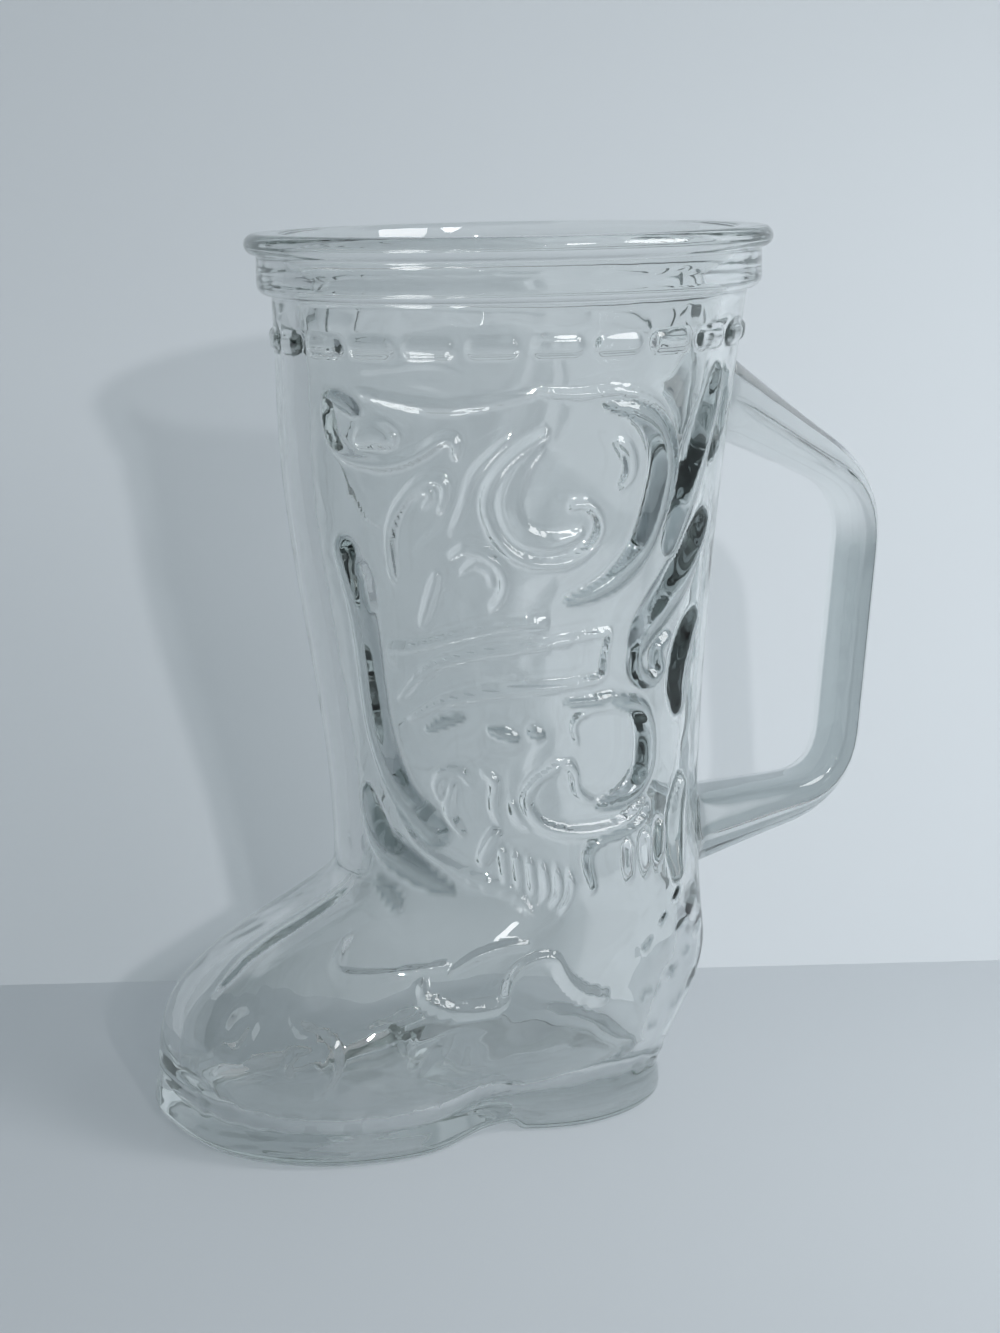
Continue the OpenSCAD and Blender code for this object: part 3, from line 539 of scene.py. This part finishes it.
def inside(form):
    """Rows from the floor's middle out to its corner and up to the ankle, and coarser ones up the leg."""
    r = form.s.floor_r
    low = form.inner_rows([SOLE_Z + r], OUTER_COLUMNS)[0]
    middle = low.mean(axis=0)
    rows = []
    for shrink in FLOOR_RINGS:
        ring = middle + (low - middle) * shrink
        ring[:, 2] = SOLE_Z
        rows.append(ring)
    for a in np.radians(CORNER_TURNS):
        ring = low.copy()
        pull = 1 - r * (1 - math.sin(a)) / np.linalg.norm((low - middle)[:, :2], axis=1, keepdims=True)
        ring[:, :2] = middle[:2] + (low - middle)[:, :2] * pull
        ring[:, 2] = SOLE_Z + r * (1 - math.cos(a))
        rows.append(ring)
    for ring in rows:
        ring[:, 2] -= form.s.ball_drop * smooth((-form.s.breast_x - ring[:, 0]) / (2 * form.s.waist_l))
    foot = form.inner_rows(spread(form, SOLE_Z + r, ANKLE_Z, INNER_GAP), OUTER_COLUMNS)
    leg = form.inner_rows(spread(form, ANKLE_Z, COLLAR_Z, INNER_GAP)[1:], INNER_COLUMNS)
    wave = form.s.ripple_h
    foot, leg = (wall + outward(wall) * (ripple(wall) * wave * 2)[..., None] for wall in (foot, leg))
    return rows + list(foot), list(leg)


def sole(form):
    """Rows from the welt down the sole's edge and in to the middle of the underside."""
    e, welt = form.s.edge_r, form.s.welt_w
    rows = []
    heights = [SOLE_Z - step * MM for step in EDGE_STEPS_MM] + [HEEL_H * EDGE_SHARE]
    steps = [(form.cove(z), z) for z in heights]
    steps += [(welt - e * (1 - math.cos(a)), e * (1 - math.sin(a))) for a in np.radians(EDGE_TURNS)]
    for grow, z in steps:
        ring = form.sole_ring(welt - grow)
        ring[:, 2] = z + form.underside(ring[:, 0]) * max(1 - z / HEEL_H, 0)
        rows.append(ring)
    edge = rows[-1]
    middle = edge.mean(axis=0)
    for shrink in UNDER_RINGS:
        ring = middle + (edge - middle) * shrink
        ring[:, 2] = form.underside(ring[:, 0])
        rows.append(ring)
    return rows


# Patches of the outer face that the handle grows out of: half their columns and rows, and in shares of a
# patch, where the grid round it starts to bend, where it has stopped, and where the patch ends
ROOT_COLUMNS, ROOT_ROWS = 10, 12
ROOT_FROM, ROOT_FADE = 0.5, 2.4
PATCH_EDGE = 1.001
# Painted shade along the outer bevel, past the upper elbow, standing in for the wall's shadow that the bevel
# bends into view
BEVEL_SHADE, BEVEL_FROM, BEVEL_FADE = 0.85, 0.15, 0.1


class Loop:
    """Path and sections of the loop handle, from the upper root to the lower one."""

    def __init__(self, form, h):
        self.form, self.h = form, h
        upper_z, lower_z = form.stitch_z - h.root_drop, ANKLE_Z - h.low_drop
        self.upper = np.array([form.back(upper_z), upper_z])
        self.lower = np.array([form.back(lower_z), lower_z])
        upper_elbow = np.array([h.reach - h.bar_t / 2, upper_z - h.upper_drop])
        lower_elbow = np.array([upper_elbow[0] - h.lean, lower_z + h.lower_rise])
        stops = [self.upper, upper_elbow, lower_elbow, self.lower]
        path = [self.upper]
        for k in (1, 2):
            start, stop = (stops[k] + (other - stops[k]) * h.elbow_l / np.linalg.norm(other - stops[k])
                           for other in (stops[k - 1], stops[k + 1]))
            u = np.linspace(0, 1, ELBOW_STEPS)[:, None]
            path += list((1 - u) ** 2 * start + 2 * u * (1 - u) * stops[k] + u ** 2 * stop)
        self.path = np.array(path + [self.lower])
        self.along = np.concatenate([[0], np.cumsum(np.linalg.norm(np.diff(self.path, axis=0), axis=1))])
        self.total = self.along[-1]
        self.ways = ((upper_elbow - self.upper), (lower_elbow - self.lower))

    def at(self, d):
        return np.array([np.interp(d, self.along, self.path[:, k]) for k in (0, 1)])

    def half_sizes(self, d):
        """Half the bar's thickness and width, a distance from the nearer root."""
        h = self.h
        flare = h.flare * max(1 - d / h.flare_l, 0) ** FLARE_POWER
        t = max(1 - d / h.fillet_r, 0)
        fillet = h.fillet_r * (1 - math.sqrt(1 - t * t))
        return (h.bar_t + flare) / 2 + fillet, (h.bar_w + flare) / 2 + fillet

    def section(self, angle):
        """Section, flat inside the loop and bevelled outside: shares of half the width and thickness."""
        p = np.where(np.sin(angle) > 0, OUTER_POWER, INNER_POWER)
        r = (np.abs(np.cos(angle)) ** p + np.abs(np.sin(angle)) ** p) ** (-1 / p)
        return r * np.cos(angle), r * np.sin(angle)

    def root(self, angle, end, d):
        """Ring of the wall's own shape, moved a distance out along the arm."""
        base, way, side = ((self.upper, self.ways[0], 1), (self.lower, self.ways[1], -1))[end]
        half_t, half_w = self.half_sizes(d)
        y_share, t_share = self.section(angle)
        y = half_w * y_share
        z = base[1] + side * half_t * t_share * math.hypot(1, way[1] / way[0])
        step = way / np.linalg.norm(way) * d
        return np.stack([self.form.wall_reach(y, z) + step[0], y, z + step[1]], axis=-1)

    def depth(self, angle, d):
        """How dark the painted shade on the outer bevel is at a distance along the path."""
        past = smooth((d - self.along[1] - self.h.elbow_l) / self.h.elbow_l)
        return BEVEL_SHADE * past * smooth((math.sin(angle) - BEVEL_FROM) / BEVEL_FADE)

    def ring(self, angle, d):
        """Ring of the bar at a distance along the path."""
        step = 0.5 * MM
        way = self.at(min(d + step, self.total)) - self.at(max(d - step, 0))
        out = np.array([-way[1], way[0]]) / np.linalg.norm(way)
        near = min(d, self.total - d)
        half_t, half_w = self.half_sizes(near)
        y_share, t_share = self.section(angle)
        x, z = (self.at(d)[k] + out[k] * half_t * t_share for k in (0, 1))
        bar = np.stack([x, half_w * y_share, z], axis=-1)
        mix = smooth(near / self.h.settle_l)
        return bar * mix + self.root(angle, int(d > self.total / 2), near) * (1 - mix)


def patch_shares(rows, columns, middle_row):
    """Shares of a root patch's half height and half width for a row and a column of the outer face."""
    offset = (columns + OUTER_COLUMNS // 2) % OUTER_COLUMNS - OUTER_COLUMNS // 2
    return offset / ROOT_COLUMNS, (middle_row - rows) / ROOT_ROWS


def make_room(form, wall, loop):
    """Bends the outer face's grid to the outline of each root, and says which row each root is on."""
    middles = []
    rows, columns = np.indices(wall.shape[:2])
    for end, base in enumerate((loop.upper, loop.lower)):
        middle = int(np.abs(wall[:, 0, 2] - base[1]).argmin())
        middles.append(middle)
        p, q = patch_shares(rows, columns, middle)
        ring = np.maximum(np.abs(p), np.abs(q))
        near = (ring > ROOT_FROM) & (ring < ROOT_FADE)
        angle = np.arctan2(q if end == 0 else -q, p)[near]
        goal = loop.root(angle, end, 0)[:, 1:]
        centre = np.array([0, base[1]])
        goal = centre + (goal - centre) * ring[near][:, None]
        keep = smooth((ring[near] - 1) / (ROOT_FADE - 1))[:, None]
        y, z = (goal * (1 - keep) + wall[near][:, 1:] * keep).T
        lift = wall[near][:, 0] - form.wall_reach(wall[near][:, 1], wall[near][:, 2])
        wall[near] = np.stack([form.wall_reach(y, z) + lift, y, z], axis=1)
    return middles


def ring_parts(geometry, kind):
    return [g for g in geometry if isinstance(g, kind)]


def push_ring(bm, edges, place):
    """Extrudes a closed ring of edges, and places each new vertex by its old one's marks."""
    made = bmesh.ops.extrude_edge_only(bm, edges=edges)["geom"]
    verts = ring_parts(made, bmesh.types.BMVert)
    fresh = set(verts)
    for v in verts:
        v.co = place(v)
    edges = ring_parts(made, bmesh.types.BMEdge)
    return verts, [e for e in edges if e.verts[0] in fresh and e.verts[1] in fresh]


def raise_rings(bm, rings, marks, cap=True):
    """Extrudes a ring through rings, marks each vertex's column and row, and gives both ends' edges."""
    column, row = bm.verts.layers.int["column"], bm.verts.layers.int["row"]
    count = len(rings[0])
    made = bmesh.ops.create_circle(bm, cap_ends=cap, segments=count, radius=1)["verts"]
    for k, v in enumerate(sorted(made, key=lambda v: round(math.atan2(v.co.y, v.co.x), 6) % (2 * math.pi))):
        v[column] = k
        v.co = rings[0][k]
    first = edges = list({e for v in made for e in v.link_edges})
    for ring, mark in zip(rings[1:], marks[1:]):
        verts, edges = push_ring(bm, edges, lambda v: ring[v[column]])
        for v in verts:
            v[row] = mark
    return first, edges


def mould_body(bm, form, loop):
    """The hollow boot as one surface, up the outside from the sole, over the lip and down the inside."""
    heights = np.concatenate([spread(form, COLLAR_Z - TOP_GAP, ANKLE_Z, LEG_GAP)[:-1],
                              spread(form, ANKLE_Z, SOLE_Z + LOW_GAP, FOOT_GAP)])
    wall = form.rows(heights)
    height, depth = relief(form, wall)
    lift = height + ripple(wall) * form.s.ripple_h + form.cove(wall[..., 2])
    wall = wall + outward(wall) * lift[..., None]
    middles = make_room(form, wall, loop)
    rim, under = turned(rim_profile(form)), sole(form)
    bm.verts.layers.int.new("column")
    bm.verts.layers.int.new("row")
    outer = under[::-1] + list(wall)[::-1] + rim[::-1]
    marks = [0] * len(under) + list(range(len(wall), 0, -1)) + [0] * len(rim)
    _, hem = raise_rings(bm, outer, marks)
    foot, leg = inside(form)
    _, ankle = raise_rings(bm, foot, [0] * len(foot))
    start, mouth = raise_rings(bm, leg, [0] * len(leg), cap=False)
    bmesh.ops.bridge_loops(bm, edges=ankle + start)
    bmesh.ops.bridge_loops(bm, edges=hem + mouth)
    column, row = bm.verts.layers.int["column"], bm.verts.layers.int["row"]
    # Painted shade of the near side's roof strokes, kept in a float attribute that darkens the glass's tint
    painted_shade = bm.verts.layers.float.new("painted_shade")
    for v in bm.verts:
        if v[row]:
            v[painted_shade] = depth[v[row] - 1, v[column]]
    return middles


def draw_handle(bm, loop, middles):
    """Opens the wall at both roots, draws the bar out of the upper one and joins it to the lower one."""
    column, row = bm.verts.layers.int["column"], bm.verts.layers.int["row"]
    painted_shade = bm.verts.layers.float["painted_shade"]

    def shares(v, middle):
        return patch_shares(v[row] - 1, v[column], middle)

    def in_patch(face, middle):
        return all(v[row] and max(abs(s) for s in shares(v, middle)) < PATCH_EDGE for v in face.verts)

    patches = [f for f in bm.faces if any(in_patch(f, m) for m in middles)]
    bmesh.ops.delete(bm, geom=patches, context="FACES")
    open_edges = [e for e in bm.edges if e.is_boundary]
    split_z = (loop.upper[1] + loop.lower[1]) / 2
    upper = [e for e in open_edges if e.verts[0].co.z > split_z]
    lower = [e for e in open_edges if e.verts[0].co.z <= split_z]
    if len(upper) != len(lower) or len(upper) != 4 * (ROOT_COLUMNS + ROOT_ROWS):
        raise RuntimeError(f"the roots' openings have {len(upper)} and {len(lower)} edges")
    turn = bm.verts.layers.float.new("turn")
    for e in upper:
        for v in e.verts:
            p, q = shares(v, middles[0])
            v[turn] = math.atan2(q, p)
    edges = upper
    count = int(loop.total / BAR_GAP)
    for k in range(1, count):
        d = loop.total * k / count
        verts, edges = push_ring(bm, edges, lambda v: loop.ring(v[turn], d))
        # Painted shade along the bar's outer bevel, past the upper elbow
        for v in verts:
            v[painted_shade] = loop.depth(v[turn], d)
    bmesh.ops.bridge_loops(bm, edges=edges + lower)


MELT_SOCKETS = {
    "INPUT": {"Coordinates": "Vector", "Clear": "Color", "Deep": "Color", "Shade colour": "Color", "Depth": "Float"},
    "OUTPUT": {"Tint": "Color", "Roughness": "Float", "Height": "Float"},
}
# Scale and detail of the cords in the melt, the handling marks and the mould's skin
CORDS, MARKS, SKIN = (34, 2), (90, 4), (130, 1)
MARK_RANGE = {"From Min": 0.45, "From Max": 0.8, "To Min": 0.0, "To Max": 0.05}
# How strongly the skin shows and how deep it is, and the glass's index of refraction
SKIN_STRENGTH, SKIN_DEPTH = 0.35, 0.4 * MM
GLASS_IOR = 1.5


def add(tree, kind, values=None):
    """New shader node with some of its inputs set."""
    node = tree.nodes.new("ShaderNode" + kind)
    for name, value in (values or {}).items():
        node.inputs[name].default_value = value
    return node


def fade(tree, *sockets):
    """Shader between two others, from the sockets of the share, the first and the second."""
    mix = add(tree, "MixShader")
    for place, socket in enumerate(sockets):
        tree.links.new(socket, mix.inputs[place])
    return mix.outputs["Shader"]


def blend(tree, *sockets):
    """Colour between two others, from the sockets of the share, the first and the second."""
    mix = add(tree, "Mix")
    mix.data_type = "RGBA"
    for place, socket in zip((0, 6, 7), sockets):
        tree.links.new(socket, mix.inputs[place])
    return mix.outputs[2]


def noise(tree, coords, scale, detail):
    node = add(tree, "TexNoise", {"Scale": scale, "Detail": detail})
    tree.links.new(coords, node.inputs["Vector"])
    return node.outputs["Fac"]


def melt_group():
    """Node group for moulded glass: cords of greener melt, painted shade mixed in by its amount, handling
    marks and the mould's fine skin.
    """
    group = bpy.data.node_groups.new("Moulded melt", "ShaderNodeTree")
    for way, sockets in MELT_SOCKETS.items():
        for name, kind in sockets.items():
            group.interface.new_socket(name, in_out=way, socket_type="NodeSocket" + kind)
    tree, link = group, group.links.new
    source, sink = tree.nodes.new("NodeGroupInput"), tree.nodes.new("NodeGroupOutput")
    shades = source.outputs
    coords = shades["Coordinates"]
    tint = blend(tree, noise(tree, coords, *CORDS), shades["Clear"], shades["Deep"])
    # Painted shade: the tint goes over to the dark shade colour where the painted shade's amount is high
    link(blend(tree, shades["Depth"], tint, shades["Shade colour"]), sink.inputs["Tint"])
    marks = add(tree, "MapRange", MARK_RANGE)
    link(noise(tree, coords, *MARKS), marks.inputs["Value"])
    link(marks.outputs["Result"], sink.inputs["Roughness"])
    link(noise(tree, coords, *SKIN), sink.inputs["Height"])
    return group


def glass_material(look):
    """Clear glass with a grey-green body colour, painted darker where the mesh's painted shade attribute
    says. Lamps shine through it, so its shadow stays light.
    """
    mat = bpy.data.materials.new("clear_glass")
    mat.use_nodes = True
    tree, link = mat.node_tree, mat.node_tree.links.new
    tree.nodes.clear()
    coords, melt = add(tree, "TexCoord"), add(tree, "Group")
    melt.node_tree = melt_group()
    for name, tint in (("Clear", look.tint), ("Deep", look.deep_tint), ("Shade colour", look.painted_shade_tint)):
        melt.inputs[name].default_value = tint
    link(coords.outputs["Object"], melt.inputs["Coordinates"])
    # Attribute that holds the painted shade of the roof strokes and the handle's bevel
    depth = add(tree, "Attribute")
    depth.attribute_name = "painted_shade"
    link(depth.outputs["Fac"], melt.inputs["Depth"])
    bump = add(tree, "Bump", {"Strength": SKIN_STRENGTH, "Distance": SKIN_DEPTH})
    link(melt.outputs["Height"], bump.inputs["Height"])
    glass = add(tree, "BsdfPrincipled", {"IOR": GLASS_IOR, "Transmission Weight": 1})
    link(melt.outputs["Tint"], glass.inputs["Base Color"])
    link(melt.outputs["Roughness"], glass.inputs["Roughness"])
    link(bump.outputs["Normal"], glass.inputs["Normal"])
    path = add(tree, "LightPath")
    shader = glass.outputs["BSDF"]
    for ray, share in (("Is Diffuse Ray", look.glow), ("Is Shadow Ray", look.shade)):
        clear = add(tree, "BsdfTransparent", {"Color": share})
        shader = fade(tree, path.outputs[ray], shader, clear.outputs["BSDF"])
    absorb = add(tree, "VolumeAbsorption", {"Color": look.body_tint, "Density": look.absorb})
    out = add(tree, "OutputMaterial")
    link(shader, out.inputs["Surface"])
    link(absorb.outputs["Volume"], out.inputs["Volume"])
    return mat


def put(name, data):
    """Object in the scene for a mesh, a lamp or a camera."""
    obj = bpy.data.objects.new(name, data)
    bpy.context.scene.collection.objects.link(obj)
    return obj


def make_object(name, bm, material):
    """Object in the scene from a finished bmesh."""
    mesh = bpy.data.meshes.new(name)
    bm.to_mesh(mesh)
    bm.free()
    mesh.materials.append(material)
    return put(name, mesh)


class BOOT_OT_glass(bpy.types.Operator):
    """Mould the boot with its ornament and draw the handle out of it, as one piece of glass"""
    bl_idname = "boot.glass"
    bl_label = "Glass"

    def execute(self, context):
        scene = context.scene
        form = Form(scene.boot_sizes)
        loop = Loop(form, scene.boot_handle)
        bm = bmesh.new()
        middles = mould_body(bm, form, loop)
        draw_handle(bm, loop, middles)
        bmesh.ops.translate(bm, verts=bm.verts, vec=(AXIS_X, 0, 0))
        bmesh.ops.recalc_face_normals(bm, faces=bm.faces)
        if any(len(e.link_faces) != 2 for e in bm.edges):
            raise RuntimeError("the glass isn't one closed surface")
        glass = make_object("boot_glass", bm, glass_material(scene.boot_look))
        glass.data.shade_smooth()
        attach(glass, "root")
        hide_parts(*NODES)
        return {"FINISHED"}


# The photograph's camera: turn round the glass in degrees, the turns about its own axes that set it level
# and then pan, tilt and roll it, and its lens for a sensor as high as the picture
CAMERA_TURN = -27
CAMERA_TURNS = (CAMERA_TURN, "Z"), (90, "X"), (0.302, "Y"), (-9.971, "X"), (-1.05, "Z")
SENSOR, LENS = 36, 81.82
# The light side of the room: turn from the camera's side, height, and the cosine of the angle from its
# middle within which it is lightest
LIGHT_TURN, LIGHT_RISE, LIGHT_FULL = 95, 50, 0.9
# Lamps: turn from the camera's side, height above the horizon, distance, size and power. The key throws
# the shadow, the fill lifts the right side and the glint gives the glass its highlights. None of them
# shows through the glass, since the photo has no such streaks
KEY = 16.5, 17, 1.6, 0.05, 8.5
FILL = 65, 35, 0.34, 0.16, 0.6
GLINT = 32, 30, 0.9, 0.2, 1.4
# Bounces that the glass needs
BOUNCES = 24
# The wall behind the glass: its turn, how far it runs to the left and the right of the axis, its height,
# and how far it leans back
WALL_TURN, WALL_LEFT, WALL_RIGHT, WALL_H, WALL_LEAN = -25.3, 0.25, 0.5, 0.5, 30
# Half the floor's side, so wide that no view from above sees its edge, and the boards' roughness
FLOOR_HALF = 6
BOARD_ROUGHNESS = 0.7


def toward(turn, rise=0):
    """Direction from the glass at a turn from the front and a height above the horizon, in degrees."""
    a, e = math.radians(turn), math.radians(rise)
    return Vector((math.sin(a) * math.cos(e), -math.cos(a) * math.cos(e), math.sin(e)))


def board(name, half_w, half_h, material, matrix):
    """A flat board of the stage."""
    bm = bmesh.new()
    size = Matrix.Diagonal((half_w, half_h, 1, 1))
    bmesh.ops.create_grid(bm, x_segments=1, y_segments=1, size=1, matrix=matrix @ size)
    make_object(name, bm, material)


def board_material(look):
    """Matt white board, clear from behind so that it never hides the glass."""
    mat = bpy.data.materials.new("white_board")
    mat.use_nodes = True
    tree, link = mat.node_tree, mat.node_tree.links.new
    paint = tree.nodes["Principled BSDF"]
    paint.inputs["Base Color"].default_value = look.board
    paint.inputs["Roughness"].default_value = BOARD_ROUGHNESS
    clear, side = add(tree, "BsdfTransparent"), add(tree, "NewGeometry")
    shader = fade(tree, side.outputs["Backfacing"], paint.outputs["BSDF"], clear.outputs["BSDF"])
    link(shader, tree.nodes["Material Output"].inputs["Surface"])
    return mat


def room_world(look):
    """A room that is light above and to the right, and dim to the left and behind the camera."""
    world = bpy.data.worlds.new("room")
    world.use_nodes = True
    tree, link = world.node_tree, world.node_tree.links.new
    coords = add(tree, "TexCoord")
    dot = add(tree, "VectorMath", {1: toward(CAMERA_TURN + LIGHT_TURN, LIGHT_RISE)})
    dot.operation = "DOT_PRODUCT"
    link(coords.outputs["Generated"], dot.inputs[0])
    ramp = add(tree, "MapRange", {"From Min": 0, "From Max": LIGHT_FULL})
    ramp.interpolation_type = "SMOOTHSTEP"
    link(dot.outputs["Value"], ramp.inputs["Value"])
    room = add(tree, "Mix", {6: look.room, 7: look.sky})
    room.data_type = "RGBA"
    link(ramp.outputs["Result"], room.inputs[0])
    link(room.outputs[2], tree.nodes["Background"].inputs["Color"])
    return world


def lamp(name, turn, rise, distance, size, power):
    """A round lamp aimed at the middle of the glass."""
    direction = toward(CAMERA_TURN + turn, rise)
    data = bpy.data.lights.new(name, "AREA")
    data.shape = "DISK"
    data.size = size
    data.energy = power
    obj = put(name, data)
    aim = Vector((AXIS_X, 0, MUG_H / 2))
    obj.location = aim + direction * distance
    obj.rotation_euler = direction.to_track_quat("Z", "Y").to_euler()
    obj.visible_transmission = False
    return obj


def photo_camera(look):
    """The photograph's camera, panned, tilted and rolled as it was."""
    data = bpy.data.cameras.new("photo_camera")
    data.sensor_width = SENSOR
    data.lens = LENS
    place = Matrix.Translation(toward(CAMERA_TURN) * look.camera_d + Vector((AXIS_X, 0, look.camera_h)))
    for angle, axis in CAMERA_TURNS:
        place = place @ Matrix.Rotation(math.radians(angle), 4, axis)
    cam = put("photo_camera", data)
    cam.matrix_world = place
    bpy.context.scene.camera = cam


class BOOT_OT_stage(bpy.types.Operator):
    """Set up the floor, the wall, the room's light, the lamps and the camera"""
    bl_idname = "boot.stage"
    bl_label = "Stage"

    def execute(self, context):
        scene = context.scene
        look = scene.boot_stage
        paint = board_material(look)
        board("floor", FLOOR_HALF, FLOOR_HALF, paint, Matrix.Translation((AXIS_X, 0, 0)))
        along, facing = toward(WALL_TURN + 90), toward(WALL_TURN, WALL_LEAN)
        up = -toward(WALL_TURN, WALL_LEAN - 90)
        upright = Matrix((along, up, facing)).transposed().to_4x4()
        upright.translation = (Vector((AXIS_X, 0, 0)) - toward(WALL_TURN) * look.wall_gap + up * WALL_H / 2
                               + along * (WALL_RIGHT - WALL_LEFT) / 2)
        board("wall", (WALL_LEFT + WALL_RIGHT) / 2, WALL_H / 2, paint, upright)
        scene.world = room_world(look)
        lamp("key", *KEY)
        lamp("fill", *FILL)
        lamp("glint", *GLINT).visible_diffuse = False
        photo_camera(look)
        scene.view_settings.view_transform = "Standard"
        scene.cycles.max_bounces = scene.cycles.transparent_max_bounces = BOUNCES
        scene.cycles.transmission_bounces = scene.cycles.glossy_bounces = BOUNCES
        return {"FINISHED"}


class BOOT_PT_panel(bpy.types.Panel):
    """Sizes, colours and steps of the boot glass"""
    bl_label = "Boot glass"
    bl_idname = "BOOT_PT_panel"
    bl_space_type = "VIEW_3D"
    bl_region_type = "UI"
    bl_category = "Boot glass"

    def draw(self, context):
        for operator in OPERATORS:
            self.layout.operator(operator.bl_idname)
        for name in GROUPS:
            group = getattr(context.scene, name)
            column = self.layout.column(align=True)
            for key in group.__annotations__:
                column.prop(group, key)


OPERATORS = (BOOT_OT_glass, BOOT_OT_stage)
GROUPS = {"boot_sizes": BootSizes, "boot_handle": HandleSizes,
          "boot_look": GlassLook, "boot_stage": StageLook}
CLASSES = (*GROUPS.values(), *OPERATORS, BOOT_PT_panel)


def register():
    for cls in CLASSES:
        bpy.utils.register_class(cls)
    for name, group in GROUPS.items():
        setattr(bpy.types.Scene, name, PointerProperty(type=group))


def unregister():
    for name in GROUPS:
        delattr(bpy.types.Scene, name)
    for cls in reversed(CLASSES):
        bpy.utils.unregister_class(cls)


def main():
    register()
    bpy.ops.boot.stage()
    bpy.ops.boot.glass()


if __name__ == "__main__":
    main()
